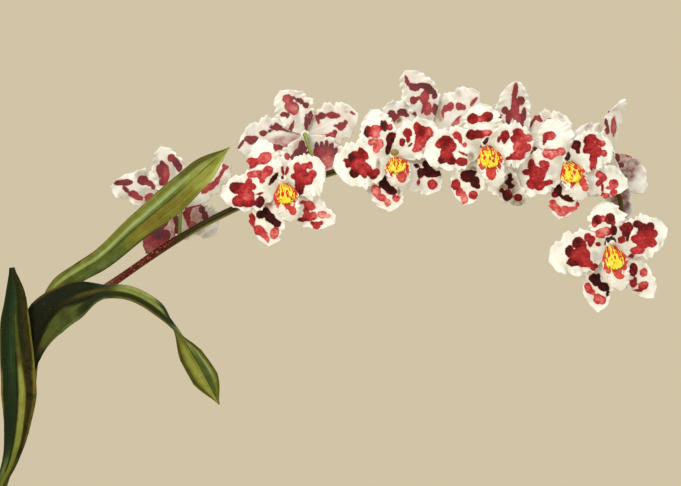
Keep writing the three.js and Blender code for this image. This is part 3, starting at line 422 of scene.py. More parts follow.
             (32, -21, 1.9, 1.1, 0, .7), (35, -25, 2.4, 2.6, 0, .68), (28.5, -28, 3.3, 2.9, 0, .72)],
        ],
        tints=[[], [(-12, -8, 4, 4, "grey")], [], [(-3, -20, 2.6, 4, "grey")], []],
        heart_marks_and_shadow=[(.2, 1.8, 1.3, 2.8, -20, .02), (-1.4, -1.4, .9, 2.4, -5, .05),
                     (-15, 4, 3.3, 3.1, 0, .78), (-10, 4.9, 3.7, 2.7, 0, .8), (-4.6, 5.8, 3.1, 2.8, 0, .8),
                     (-12, 1.6, 1.8, 1.8, 0, .8)],
        crest_marks=[(5, -10, .8, 1.5, 20, .6), (8.6, -10, .8, 1.5, 25, .62), (3, -13, .7, 1.2, 15, .66),
                     (1, -8, .7, 1.4, 0, .6), (5.8, -6, 1.2, 1.7, 10, .84)],
        lip_marks=[(11, -17, 2.4, 3, 0, .73), (13, -20.6, 2.2, 2.6, 0, .88), (3.8, -18, 1.3, 2.1, -25, .68),
                   (-1.6, -10.2, 1.4, 1.8, 30, .6), (2, -14, 1.4, 1.6, 20, .62),
                   (6.4, -2.4, 1.4, 2.6, 0, .85)],
    ),
    dict(
        at=(452, 19, 445.5), faces=BACK, stem_x=438, lip=(3, -26),
        tepals=[
            dorsal(8, 41, 18, roll=45, lift=1, bend=6), petal(-27, 16, 29),
            petal(23, -32, 22, lift=-4, roll=-12, bend=4), sepal(-17, -33, 23),
            sepal(12, -50, 20, lift=-7, bend=-4),
        ],
        marks=[
            [(-5.4, 21, 2, 3.8, 0, .08), (-3.8, 18, 1.4, 3.8, 15, .4), (1.6, 20, 1.8, 5.8, 0, .8),
             (-8.4, 20, .7, .8, 0, .3), (-3, 30.3, 1.2, .4, 40, .3)],
            [(-15, 9, 4, 3.4, 0, .3), (-9, 4, 2, 2, 0, .3)],
            [(2.8, 1, 1.1, 3.4, 30, .3), (5, -3.6, 1.6, 2.8, 10, .25), (8, -9.5, 2, 1.8, 0, .35),
             (10.6, 1, 3.2, 1.8, 15, .55), (13, -1.2, 1.4, 1.8, 0, .6)],
            [(-8, -16, 3.2, 4.2, 0, .15), (-11, -22, 2.8, 2.8, 0, .4)],
            [(5, -28, 2, 4, 20, .1)],
        ],
        tints=[[(-6, 38, 3, 3, "olive")], [],
               [(12, -8, 11, 11, "plum"), (2, -9, 4, 8, "olive"), (11, -17, 8, 6, "plum")],
               [(-5, -10, 8, 8, "olive")], [(4, -31, 6, 11, "olive"), (8, -36, 7, 14, "plum")]],
    ),
    dict(
        at=(448.5, -24, 377.3), faces=FRONT, stem_x=None, lip=(8, -36),
        tepals=[
            dorsal(-4, 31, 28), petal(-46, -14, 33, lift=1), petal(43, 11, 32, lift=-1, bend=-2),
            sepal(-9, -52, 23, bend=-4), sepal(33, -41, 23, lift=1),
        ],
        marks=[
            [(-9.5, 17, 3.5, 3.3, 0, .2), (-5, 18, 2.2, 2.1, 0, .9), (0, 18, 3.5, 3.7, 0, .2),
             (-11.6, 14, 1.4, 1.8, 0, .8), (2.4, 15, 1.6, 1.4, 0, .7)],
            [(-24, 0, 3.9, 3.9, 0, .12), (-30.4, -6, 2.8, 3.5, 0, .15), (-21, -3, 3, 5, 0, .5),
             (-25, -9, 5.4, 4.4, 0, .5), (-19.2, -10, 4, 5.4, 0, .55), (-27.4, -14.4, 4.1, 2.7, 0, .22),
             (-20, -15, 4, 2.6, 0, .5), (-16, -15.5, 2.4, 2.2, -20, .62), (-16.8, 4, 2.3, 2.7, 0, .5),
             (-13.8, 2.6, 2.2, 2.4, 0, .5), (-15, -.4, 1.5, 2.2, 0, .5), (-9.2, -.8, 1.6, 1.5, 0, .4),
             (-11.6, -18, 2.5, 2.4, 30, .4)],
            [(20, 14, 2.8, 2.5, 0, .2), (24, 11, 3.6, 3.1, 0, .2), (30, 12.4, 2.5, 2.5, 0, .2),
             (26, 7, 5.8, 4.1, 0, .45), (18.4, 3, 2.7, 2.7, 0, .55), (32.4, 7, 2.9, 2.7, 0, .5),
             (25, 1, 5.4, 4.5, 0, .6), (31, 0, 3.1, 3.1, 0, .6), (20, -5.5, 4.6, 2.5, 0, .62),
             (9.5, 12, 2.9, 2.9, 0, .3), (13.8, 12, 2.9, 3, 0, .26), (11.8, 8.4, 3, 3.4, 0, .24),
             (12.8, 4, .9, 2.2, 0, .2), (8.2, 2.4, 2.3, 2.4, 0, .45), (15.6, -9.7, 1.5, 1.3, 0, .35)],
            [(-12.5, -26, 2.8, 2.9, 0, .04), (-10, -28.5, 3.1, 3.3, 0, .04), (-8.4, -24.5, 1.3, 1.5, 0, .05),
             (-4.6, -32.5, 4.2, 3.1, -25, .03), (-1.6, -37.4, 1.1, 1.9, -15, .05),
             (-16, -33.4, 2.3, 3.6, 20, .72), (-13.6, -36.4, 1.9, 1.6, 0, .74),
             (-8.6, -41.5, 3.3, 3.5, 0, .72), (-5.6, -42.5, 2.5, 2.7, 0, .72)],
            [(17.3, -20, 2.7, 4.4, 0, .3), (25, -22, 2.5, 2.9, 0, .74), (17.3, -30, 2.5, 2.9, 15, .58),
             (18.8, -27.3, 1.1, 1.8, 0, .45), (24.8, -31.8, 3.6, 2.6, 30, .66), (21.4, -35, 2, .6, 0, .35),
             (11.6, -31.4, .7, 1.3, 0, .2)],
        ],
        tints=[[], [(-12, -10, 3.6, 4.6, "grey")], [(20, -10.6, 4, 2.4, "grey")],
               [(-5.5, -26.6, 1.6, 2, "grey")], []],
        heart_marks_and_shadow=[(-2.6, 1.4, .8, 1.9, -35, 0), (.4, 3.4, 2.2, .7, -5, 0), (3.1, 2.2, .6, 1.2, 30, 0),
                     (-7, 7, 3.7, 3.1, 0, .86), (-2.6, 8.6, 3.2, 2.9, 0, .82), (2.5, 9.5, 2.3, 3.3, 0, .16)],
        crest_marks=[(-1, -5, .7, 1.5, -15, .66), (1.5, -7.5, .7, 1.6, 0, .6), (4, -4.5, .7, 1.6, 10, .68),
                     (6.2, -7, .6, 1.4, 20, .62), (3, -11, .7, 1.6, 5, .66), (-1.6, -9.5, .7, 1.6, -10, .66),
                     (6, -11, .6, 1.6, 10, .68)],
        lip_marks=[(4.5, -21, 2.7, 4, 0, .76), (6.4, -24.6, 2.7, 2, 0, .9), (-2.6, -20, 1.8, 2.4, 20, .8),
                   (9.8, -18, 1.6, 2, 0, .8), (-4.6, -10, 1.1, 4.4, 0, .68), (9.6, -8, 1, 4.2, -5, .68)],
    ),
]

# leaves: spine, and at even steps along it the half width, the roll and the fold in degrees; then washes of
# colour, which paint the leaf's highlights and shade along with its own greens and browns: from and to along
# the leaf, from and to across it, and its light, cool and brown; low and high are where the wash lies across
# the leaf at its far end, soft and fade how gently it ends across and along
LEAVES = {
    "leaf_front": dict(
        spine=[(-17, -14.5, 106.7), (-16, -14.5, 140), (-12, -14.5, 175), (-6, -15, 197), (1, -16, 214.5),
               (5.5, -17, 236), (7.5, -18, 264), (6.5, -18.5, 290), (5.2, -18.5, 316), (5.6, -18, 338),
               (3, -17, 359)],
        half=[5.5, 6, 6.5, 7, 8.5, 11, 14.5, 13.5, 11.8, 8, 2],
        roll=[0, 0, 0, 0, 0, 2, 4, 4, 2, 0, 0],
        fold=[62, 62, 62, 60, 48, 34, 22, 18, 16, 14, 10],
        rows=130,
        blunt=0.9,
        shade=dict(light=0.14, cool=0.4, brown=0.0),
        washes=[
            (-0.1, 0.42, -1.1, 1.1, (0.3, 0.4, 0), {}),
            (-0.1, 0.48, 0.1, 0.5, (0.46, 0.5, 0), dict(soft=0.2)),
            (-0.1, 0.48, 0.75, 1.1, (0.06, 0.3, 0), dict(soft=0.1)),
            (0.42, 1.1, 0.05, 1.1, (0.07, 0.75, 0), dict(fade=0.06)),
            (0.62, 1.1, -1.1, -0.02, (0.12, 0.0, 0.08), dict(soft=0.08)),
            (0.62, 1.1, -0.5, 0.0, (0.08, 0.3, 0.0), dict(soft=0.2)),
            (0.6, 0.96, 0.1, 0.5, (0.26, 0.9, 0), dict(low=-0.1, high=0.2, soft=0.25, fade=0.12)),
            (-0.1, 0.5, -0.3, -0.02, (0.6, 0, 0), dict(low=-0.55, soft=0.06)),
            (0.48, 0.7, -0.64, 0.0, (0.68, 0.1, 0.15), dict(low=-0.3, soft=0.1, fade=0.03)),
            (0.69, 0.86, -0.34, -0.03, (0.36, 0.1, 0.1), dict(low=-0.1, soft=0.1, fade=0.05)),
            (0.44, 0.72, -0.82, -0.56, (0.05, 0.1, 0.1), dict(low=-0.86, high=-0.3, soft=0.08)),
            (0.46, 0.6, -1.1, -0.8, (0.36, 0, 0.6), dict(soft=0.06)),
            (0.6, 0.68, -1.1, -0.8, (0.44, 0, 0.7), dict(soft=0.06)),
            (0.66, 0.86, -1.1, -0.9, (0.6, 0, 0.1), dict(soft=0.04, fade=0.04)),
            (0.55, 0.68, 0.88, 1.1, (0.5, 0, 0.4), dict(soft=0.05)),
            (0.68, 0.97, 0.93, 1.1, (0.34, 0, 0.1), dict(soft=0.05)),
            (0.36, 0.72, -0.02, 0.03, (0.03, 0.4, 0), dict(soft=0.03)),
        ],
    ),
    "leaf_arching": dict(
        spine=[(-13.5, -2.6, 171), (-11, -4, 186), (-5, -5.5, 202), (5, -8, 232), (10, -9, 262),
               (15.5, -10, 292), (27, -13, 320), (49.5, -20, 336), (72, -24, 343), (92, -24, 341),
               (112.5, -22, 329.5), (125.5, -21, 314), (138, -20, 295), (148.5, -19, 276),
               (157.5, -18, 257)],
        half=[3.5, 4, 4.5, 5, 5.5, 8.5, 16.5, 16.8, 12, 10, 10, 11, 12.5, 11, .8],
        roll=[0, 0, 0, 0, 0, 0, 8, 32, 66, 60, 62, 92, 138, 160, 170],
        fold=[50, 50, 50, 44, 38, 26, 12, 12, 12, 8, 8, 10, 14, 14, 10],
        rows=190,
        shade=dict(light=0.3, cool=0.1, brown=0.0),
        washes=[
            (-0.1, 0.58, -1.1, 1.1, (0.01, 0.1, 0), dict(fade=0.05)),
            (0.37, 0.47, -1.1, -0.45, (0.37, 0.5, 0.12), dict(high=-0.12, soft=0.05, fade=0.02)),
            (0.47, 0.59, -1.1, -0.12, (0.35, 0.5, 0.12), dict(high=-0.85, soft=0.06, fade=0.02)),
            (0.38, 0.5, -1.1, -0.9, (0.46, 0.6, 0), dict(soft=0.05)),
            (0.4, 0.6, 0.94, 1.1, (0.3, 0, 0.5), dict(soft=0.03)),
            (0.5, 0.66, -0.1, 0.15, (0.22, 0, 0.2), dict(low=-0.5, high=-0.25, soft=0.12, fade=0.04)),
            (0.5, 0.64, 0.4, 0.86, (0.05, 0.5, 0), dict(soft=0.1)),
            (0.5, 0.6, -0.9, -0.5, (0.1, 0.5, 0), dict(soft=0.1)),
            (0.6, 0.76, -0.3, 1.1, (0.6, 0.25, 0), dict(low=-0.4, soft=0.06, fade=0.025)),
            (0.62, 0.72, 0.3, 0.8, (0.74, 0.3, 0), dict(soft=0.2, fade=0.03)),
            (0.6, 0.79, -1.1, -0.34, (0.14, 0.3, 0), dict(high=-0.3, soft=0.06)),
            (0.6, 0.78, -1.1, -0.85, (0.4, 0, 0.2), dict(soft=0.06)),
            (0.71, 0.785, 0.2, 1.1, (0.1, 0.5, 0), dict(low=-0.6, soft=0.15, fade=0.02)),
            (0.785, 1.1, -1.1, 1.1, (0.48, 0.0, 0), dict(fade=0.02)),
            (0.8, 1.1, 0.1, 0.6, (0.64, 0.1, 0), dict(soft=0.16, fade=0.03)),
            (0.8, 1.1, 0.72, 1.1, (0.26, 0, 0.1), dict(soft=0.1)),
            (0.79, 1.1, 0.94, 1.1, (0.76, 0, 0), dict(soft=0.03)),
            (0.79, 0.93, -0.75, -0.1, (0.74, 0.6, 0), dict(soft=0.15, fade=0.03)),
            (0.86, 1.1, -0.5, -0.03, (0.4, 0.5, 0), dict(soft=0.08, fade=0.03)),
            (0.8, 1.1, -1.1, -0.86, (0.36, 0, 0.1), dict(soft=0.08)),
            (0.82, 0.99, -0.03, 0.03, (0.12, 0.2, 0), dict(soft=0.03)),
        ],
    ),
    "leaf_upper": dict(
        spine=[(-9.5, 2.8, 171), (-6.5, 2.2, 190), (0, 1, 212), (8, 0, 240), (13, -.5, 270), (17, -1, 296),
               (23.5, -2, 320), (36, -4, 344.5), (52, -6, 355.5), (69.5, -9, 366), (95.5, -15, 388.5),
               (122.5, -17, 410.5), (146, -17, 432), (165, -15, 448.5)],
        half=[3.5, 4, 4.5, 5, 5, 5, 6, 7.4, 7.8, 8.6, 10.2, 12, 10, .8],
        roll=[0, 0, 0, 0, 0, 0, 5, 10, 10, 10, 8, 6, 4, 0],
        fold=[50, 50, 50, 48, 44, 40, 34, 26, 20, 16, 14, 12, 12, 8],
        rows=170,
        shade=dict(light=0.45, cool=0.12, brown=0.05),
        washes=[
            (0.44, 0.66, 0.0, 1.1, (0.62, 0.2, 0), dict(soft=0.06, fade=0.05)),
            (0.5, 1.1, 0.5, 1.1, (0.48, 0.12, 0), dict(soft=0.1, fade=0.06)),
            (0.54, 0.94, 0.02, 0.3, (0.64, 0.4, 0), dict(low=0.3, high=0.66, soft=0.12, fade=0.05)),
            (0.64, 0.92, 0.12, 0.3, (0.72, 0.6, 0), dict(low=0.36, high=0.56, soft=0.12, fade=0.08)),
            (0.5, 0.76, -1.1, -0.06, (0.42, 0.25, 0), dict(fade=0.04)),
            (0.62, 0.76, -0.8, -0.3, (0.44, 0.5, 0), dict(soft=0.12, fade=0.04)),
            (0.74, 1.1, -1.1, -0.02, (0.54, 0.0, 0.12), dict(fade=0.03)),
            (0.78, 0.95, -0.7, -0.1, (0.5, 0.0, 0.5), dict(low=-0.9, high=-0.4, soft=0.15, fade=0.04)),
            (0.88, 1.1, -0.7, 0.35, (0.68, 0.08, 0), dict(low=-0.9, high=0.1, soft=0.15, fade=0.03)),
            (0.9, 1.1, -1.1, -0.66, (0.9, 0.0, 0), dict(soft=0.1, fade=0.03)),
            (0.88, 1.1, 0.5, 1.1, (0.34, 0, 0.1), dict(soft=0.12, fade=0.03)),
            (0.53, 0.7, 0.94, 1.1, (0.04, 0.1, 0.1), dict(soft=0.03, fade=0.02)),
            (0.56, 0.64, 0.5, 0.56, (0.1, 0.1, 0.1), dict(low=0.9, high=0.96, soft=0.04, fade=0.02)),
            (0.4, 0.8, -1.1, -0.9, (0.3, 0.4, 0), dict(soft=0.05)),
            (0.45, 0.97, -0.05, 0.0, (0.28, 0.5, 0), dict(low=-0.02, high=0.02, soft=0.03)),
        ],
    ),
}


# plain helpers

def mix(low, high, share):
    return low + (high - low) * share


def clamp(value, low=0.0, high=1.0):
    return min(max(value, low), high)


def smoothstep(value, low, high):
    share = clamp((value - low) / (high - low))
    return share * share * (3 - 2 * share)


def turned(vector, axis, degrees):
    return Matrix.Rotation(math.radians(degrees), 3, axis) @ vector


def colour(red, green, blue):
    """A screen colour of 0 to 255 as the linear colour that a shader takes."""
    linear = []
    for level in (red, green, blue):
        share = level / 255
        linear.append(share / 12.92 if share <= 0.04045 else ((share + 0.055) / 1.055) ** 2.4)
    return (*linear, 1.0)


def tones(*stops):
    """Stops of a ramp, each a place and a screen colour."""
    return [(place, colour(*shade)) for place, *shade in stops]


class Line:
    """A smooth line through points, taken by its points (point) or by its length (point_at)."""

    spans = 400

    def __init__(self, points):
        self.points = [Vector(p) for p in points]
        self.lengths = [0.0]
        last = self.point(0)
        for i in range(self.spans):
            here = self.point((i + 1) / self.spans)
            self.lengths.append(self.lengths[-1] + (here - last).length)
            last = here

    def point(self, t):
        points = self.points
        place = clamp(t) * (len(points) - 1)
        low = min(int(place), len(points) - 2)
        share = place - low
        p1, p2 = points[low], points[low + 1]
        p0 = points[low - 1] if low > 0 else 2 * p1 - p2
        p3 = points[low + 2] if low + 2 < len(points) else 2 * p2 - p1
        d1 = max((p2 - p1).length, 1e-4) ** 0.5
        d0 = max((p1 - p0).length, 1e-4) ** 0.5
        d2 = max((p3 - p2).length, 1e-4) ** 0.5
        out = ((p1 - p0) / d0 - (p2 - p0) / (d0 + d1) + (p2 - p1) / d1) * d1
        into = ((p2 - p1) / d1 - (p3 - p1) / (d1 + d2) + (p3 - p2) / d2) * d1
        square, cube = share * share, share ** 3
        return (p1 * (2 * cube - 3 * square + 1) + out * (cube - 2 * square + share)
                + p2 * (3 * square - 2 * cube) + into * (cube - square))

    def tangent(self, t):
        return (self.point(t + 1e-4) - self.point(t - 1e-4)).normalized()

    def share_at(self, u):
        """How far along its points the line is at a share of its length."""
        goal = clamp(u) * self.lengths[-1]
        low, high = 0, self.spans
        while high - low > 1:
            middle = (low + high) // 2
            if self.lengths[middle] <= goal:
                low = middle
            else:
                high = middle
        step = self.lengths[high] - self.lengths[low]
        return (low + (goal - self.lengths[low]) / max(step, 1e-9)) / self.spans

    def point_at(self, u):
        return self.point(self.share_at(u))

    def tangent_at(self, u):
        return self.tangent(self.share_at(u))


def put_in_scene(name, data):
    made = bpy.data.objects.new(name, data)
    bpy.context.scene.collection.objects.link(made)
    return made


def new_object(name, corners, faces):
    """An object of the scene from corners in mm and faces."""
    mesh = bpy.data.meshes.new(name)
    mesh.from_pydata([corner * MM for corner in corners], [], faces)
    return put_in_scene(name, mesh)


class Shape:
    """The corners in mm, the faces and the named values of a mesh that is being made."""

    def __init__(self):
        self.corners = []
        self.faces = []
        self.values = {}

    def add(self, corners, faces, values=None):
        first = len(self.corners)
        self.corners += corners
        self.faces += [[first + i for i in face] for face in faces]
        values = values or {}
        for name in [*self.values, *(n for n in values if n not in self.values)]:
            self.values.setdefault(name, [0.0] * first).extend(values.get(name, [0.0] * len(corners)))

    def piece(self, name, finish, stands_for, slot):
        """Makes the piece, hangs it on the root body and hides the solids of the frame that it stands for."""
        made = new_object(name, self.corners, self.faces)
        mesh = made.data
        mesh.validate()
        mesh.polygons.foreach_set("use_smooth", [True] * len(mesh.polygons))
        for label, numbers in self.values.items():
            layer = mesh.attributes.new(label, "FLOAT", "POINT")
            layer.data.foreach_set("value", numbers)
        mesh.materials.append(finish)
        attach(made, "root")
        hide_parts(*stands_for)
        return made


def blade(place, rows, columns, thickness, measure=None, rim=0.45):
    """A thin closed blade about a middle surface, place(t, s), thinner at its rim.

    measure(point, t, s) gives the named values of a corner; side is 1 on the face that t x s points to.
    """
    middle = [[place(i / rows, 2 * j / columns - 1) for j in range(columns + 1)] for i in range(rows + 1)]
    upper, lower, upper_values, lower_values = [], [], {}, {}
    for i in range(rows + 1):
        for j in range(columns + 1):
            point = middle[i][j]
            along = middle[min(i + 1, rows)][j] - middle[max(i - 1, 0)][j]
            across = middle[i][min(j + 1, columns)] - middle[i][max(j - 1, 0)]
            normal = along.cross(across).normalized()
            t, s = i / rows, 2 * j / columns - 1
            fine = 0.5 * thickness * (1 - (1 - rim) * s ** 8)
            upper.append(point + normal * fine)
            lower.append(point - normal * fine)
            values = dict(along=t, across=s, **(measure(point, t, s) if measure else {}))
            for name, value in values.items():
                upper_values.setdefault(name, []).append(value)
                lower_values.setdefault(name, []).append(value)
    upper_values["side"] = [1.0] * len(upper)
    lower_values["side"] = [0.0] * len(lower)
    count = len(upper)
    at = lambda i, j: i * (columns + 1) + j
    faces = []
    for i in range(rows):
        for j in range(columns):
            a, b, c, d = at(i, j), at(i + 1, j), at(i + 1, j + 1), at(i, j + 1)
            faces.append([a, b, c, d])
            faces.append([count + a, count + d, count + c, count + b])
        faces.append([at(i, 0), count + at(i, 0), count + at(i + 1, 0), at(i + 1, 0)])
        a, b = at(i, columns), at(i + 1, columns)
        faces.append([a, b, count + b, count + a])
    for j in range(columns):
        faces.append([at(0, j), at(0, j + 1), count + at(0, j + 1), count + at(0, j)])
        a, b = at(rows, j), at(rows, j + 1)
        faces.append([b, a, count + a, count + b])
    values = {name: upper_values[name] + lower_values[name] for name in upper_values}
    return upper + lower, faces, values


def bar(line, radius_at, sides, steps, ripple=None):
    """A closed round bar along a line, its radius given from end to end."""
    corners, around, values = [], None, {"along": []}
    for i in range(steps + 1):
        share = i / steps
        tangent = line.tangent_at(share)
        if around is None:
            around = tangent.orthogonal().normalized()
        around = (around - tangent * around.dot(tangent)).normalized()
        beside = tangent.cross(around)
        centre = line.point_at(share)
        for k in range(sides):
            angle = 2 * math.pi * k / sides
            radius = radius_at(share) * (1 + (ripple(share, angle) if ripple else 0))
            corners.append(centre + (around * math.cos(angle) + beside * math.sin(angle)) * radius)
            values["along"].append(share)
    faces = []
    for i in range(steps):
        for k in range(sides):
            a, b = i * sides + k, i * sides + (k + 1) % sides
            faces.append([a, b, b + sides, a + sides])
    faces.append(list(range(sides))[::-1])
    faces.append([steps * sides + k for k in range(sides)])
    return corners, faces, values


def lathe(profile, sides, wobble=None):
    """A turned shape about the vertical; the profile starts and ends on the middle."""
    corners, faces = [Vector((0, 0, profile[0][1]))], []
    rings = profile[1:-1]
    for radius, z in rings:
        for k in range(sides):
            angle = 2 * math.pi * k / sides
            out = radius + (wobble(angle, z) if wobble else 0)
            corners.append(Vector((out * math.cos(angle), out * math.sin(angle), z)))
    corners.append(Vector((0, 0, profile[-1][1])))
    last = len(corners) - 1
    ring = lambda i, k: 1 + i * sides + k % sides
    for k in range(sides):
        faces.append([0, ring(0, k + 1), ring(0, k)])
        faces.append([last, ring(len(rings) - 1, k), ring(len(rings) - 1, k + 1)])
        for i in range(len(rings) - 1):
            faces.append([ring(i, k), ring(i, k + 1), ring(i + 1, k + 1), ring(i + 1, k)])
    return corners, faces


# shader helpers

def place_node(tree, kind, inputs=None, **settings):
    """Places a node; an input is a value or the output of another node."""
    node = tree.nodes.new(kind)
    for name, value in settings.items():
        setattr(node, name, value)
    for key, value in (inputs or {}).items():
        if isinstance(value, bpy.types.NodeSocket):
            tree.links.new(value, node.inputs[key])
        else:
            node.inputs[key].default_value = value
    return node


def join_node(kind, inputs, **settings):
    """Places a node in the tree of the outputs that it takes."""
    tree = next(value.id_data for value in inputs.values() if isinstance(value, bpy.types.NodeSocket))
    return place_node(tree, kind, inputs, **settings)


def maths(operation, first, second=0.0, third=0.0, clamped=False):
    inputs = {0: first, 1: second, 2: third}
    return join_node("ShaderNodeMath", inputs, operation=operation, use_clamp=clamped).outputs[0]


def times(first, second):
    return maths("MULTIPLY", first, second)


def plus(first, second, clamped=False):
    return maths("ADD", first, second, clamped=clamped)


def times_plus(first, second, third):
    return maths("MULTIPLY_ADD", first, second, third)


def blend(share, under, over):
    """One colour laid over another."""
    return join_node("ShaderNodeMix", {0: share, 6: under, 7: over}, data_type="RGBA").outputs[2]


def spread(value, low, high, to_low=0.0, to_high=1.0, smooth=True):
    """A value from low to high, spread over another span and held at its ends."""
    inputs = {0: value, 1: low, 2: high, 3: to_low, 4: to_high}
    kind = "SMOOTHSTEP" if smooth else "LINEAR"
    return join_node("ShaderNodeMapRange", inputs, interpolation_type=kind).outputs[0]


def grain(vector, scale, detail=3.0, rough=0.5):
    inputs = {"Vector": vector, "Scale": scale, "Detail": detail, "Roughness": rough}
    return join_node("ShaderNodeTexNoise", inputs).outputs["Fac"]


def swing(vector, scale, detail=3.0, rough=0.5):
    """Grain that swings about nought."""
    return maths("SUBTRACT", grain(vector, scale, detail, rough), 0.5)


def ramp(value, stops):
    """A colour ramp; stops are pairs of a place and a colour."""
    node = join_node("ShaderNodeValToRGB", {0: value})
    elements = node.color_ramp.elements
    while len(elements) < len(stops):
        elements.new(0.5)
    for element, (place, shade) in zip(elements, stops):
        element.position = place
        element.color = shade
    return node.outputs["Color"]


def read_value(tree, name):
    return place_node(tree, "ShaderNodeAttribute", attribute_name=name).outputs["Fac"]


def own_place(tree):
    return place_node(tree, "ShaderNodeTexCoord").outputs["Object"]


def vector_of(x, y, z=0.0):
    return join_node("ShaderNodeCombineXYZ", {0: x, 1: y, 2: z}).outputs[0]


def part_of(vector, axis):
    return join_node("ShaderNodeSeparateXYZ", {0: vector}).outputs[axis]


def new_group(name, inputs, outputs):
    """A node group; inputs are name: default, or None for a place, and outputs are name: kind."""
    group = bpy.data.node_groups.new(name, "ShaderNodeTree")
    for label, default in inputs.items():
        kind = "NodeSocketVector" if default is None else "NodeSocketFloat"
        socket = group.interface.new_socket(label, in_out="INPUT", socket_type=kind)
        if default is not None:
            socket.default_value = default
    for label, kind in outputs.items():
        group.interface.new_socket(label, in_out="OUTPUT", socket_type=f"NodeSocket{kind}")
    entry = place_node(group, "NodeGroupInput").outputs
    leave = place_node(group, "NodeGroupOutput")
    return group, entry, leave


def put_out(group, leave, **outputs):
    for label, output in outputs.items():
        group.links.new(output, leave.inputs[label])


def use_group(tree, group, inputs):
    return place_node(tree, "ShaderNodeGroup", inputs, node_tree=group).outputs


def new_finish(name, **constants):
    """A material with one Principled shader; constants are set on the shader's own sockets."""
    finish = bpy.data.materials.new(name)
    finish.use_nodes = True
    shader = finish.node_tree.nodes["Principled BSDF"]
    for label, value in constants.items():
        shader.inputs[label.replace("_", " ").title().replace("Ior", "IOR")].default_value = value
    return finish, finish.node_tree, shader


def feed(shader, **links):
    for label, output in links.items():
        shader.id_data.links.new(output, shader.inputs[label.replace("_", " ").title()])


def relief(height, strength, distance_mm):
    inputs = {"Height": height, "Strength": strength, "Distance": distance_mm * MM}
    return join_node("ShaderNodeBump", inputs).outputs["Normal"]


# colours of the finishes; tones give places on a ramp and the screen colours there
LOBE_TONES = tones(
    (0.0, 38, 2, 2), (0.12, 62, 4, 4), (0.26, 96, 8, 9), (0.4, 136, 18, 18), (0.54, 162, 28, 35),
    (0.68, 190, 54, 58), (0.82, 217, 98, 95), (1.0, 245, 172, 160),
)
# soft washes on the petals: the grey tint is painted shade, the others partly the petals' own colour and
# partly painted shade
TINTS = {
    "grey": colour(200, 196, 186),
    "olive": colour(122, 104, 52),
    "mauve": colour(184, 128, 124),
    "plum": colour(122, 66, 60),
    "tan": colour(188, 152, 116),
}
PETAL_WHITE = colour(254, 252, 243)
PETAL_SHADE = colour(204, 202, 182)
PETAL_FLUSH = colour(216, 190, 174)
LOBE_HALO = colour(244, 196, 180)
LOBE_STREAK = colour(226, 120, 108)
LOBE_BEHIND = colour(142, 84, 90)
LIP_VEIN = colour(228, 222, 200)
LIP_YELLOWS = tones((0.3, 250, 214, 66), (0.6, 255, 236, 110))
LIP_STROKE = colour(214, 56, 34)
LIP_LOBE = colour(226, 66, 44)
CREST_YELLOWS = tones((0.3, 252, 208, 36), (0.5, 255, 232, 60), (0.75, 255, 244, 130))
CREST_STROKE = colour(212, 54, 24)
CREST_LOBE = colour(206, 50, 22)
COLUMN_IVORIES = tones((0.3, 232, 226, 196), (0.6, 252, 250, 240))
COLUMN_CAP = colour(150, 132, 66)
COLUMN_BLUSH = colour(196, 84, 60)
LEAF_WARM_TONES = tones(
    (0.0, 22, 24, 6), (0.2, 48, 50, 14), (0.4, 88, 90, 26), (0.6, 132, 134, 48), (0.8, 170, 174, 84),
    (1.0, 204, 208, 134),
)
LEAF_COOL_TONES = tones(
    (0.0, 14, 28, 12), (0.2, 34, 54, 26), (0.4, 68, 96, 54), (0.6, 108, 138, 90), (0.8, 148, 176, 132),
    (1.0, 190, 208, 174),
)
LEAF_BROWN = colour(128, 96, 40)
LEAF_SCURF = colour(170, 168, 130)
STEM_TONES = tones(
    (0.0, 104, 104, 50), (0.1, 112, 92, 52), (0.15, 134, 84, 54), (0.18, 84, 22, 12), (0.255, 78, 18, 9),
    (0.285, 46, 42, 8), (0.6, 52, 50, 12), (0.94, 84, 62, 22),
)
STEM_SPECK = colour(190, 116, 84)
STEM_UNDERSIDE_LIGHT = colour(150, 146, 66)
STALK_UNDERSIDE_SHADE = colour(84, 92, 38)
STALK_LIT_TOP = colour(156, 176, 88)
STALK_BLUSH = colour(126, 74, 54)
BRACT_ROSE = colour(190, 92, 84)
BULB_TONES = tones((0.0, 112, 102, 44), (0.3, 112, 124, 50), (0.7, 92, 112, 44), (1.0, 120, 92, 48))
BULB_FURROW_SHADE = colour(58, 74, 28)
BULB_FRECKLE = colour(82, 46, 28)
SHEATH_STRAWS = tones((0.25, 120, 88, 54), (0.5, 178, 148, 104), (0.75, 212, 190, 148))
SHEATH_TIP = colour(104, 72, 46)
MOSS_GREENS = tones((0.1, 40, 52, 20), (0.4, 88, 108, 38), (0.7, 144, 160, 64), (1.0, 184, 190, 104))
CLAY_TONES = tones((0.3, 150, 84, 56), (0.55, 178, 106, 72), (0.75, 196, 128, 92))
CLAY_GRIT = colour(112, 62, 44)
CLAY_BLOOM = colour(214, 196, 176)
COMPOST_DARK = colour(34, 24, 16)
COMPOST_LIGHT = colour(104, 76, 48)
RHIZOME_DARK = colour(74, 62, 34)
RHIZOME_LIGHT = colour(150, 132, 82)
FLOOR_TONES = tones((0.3, 204, 193, 166), (0.7, 210, 200, 174))
BACKDROP_BEIGE = colour(210, 196, 166)

# how much duller lobes are on the back of a petal, and how chalky the pot and the crocks are
BACK_DULLNESS = 0.42
POT_CHALK = 0.5
CROCK_CHALK = 0.15


# finishes

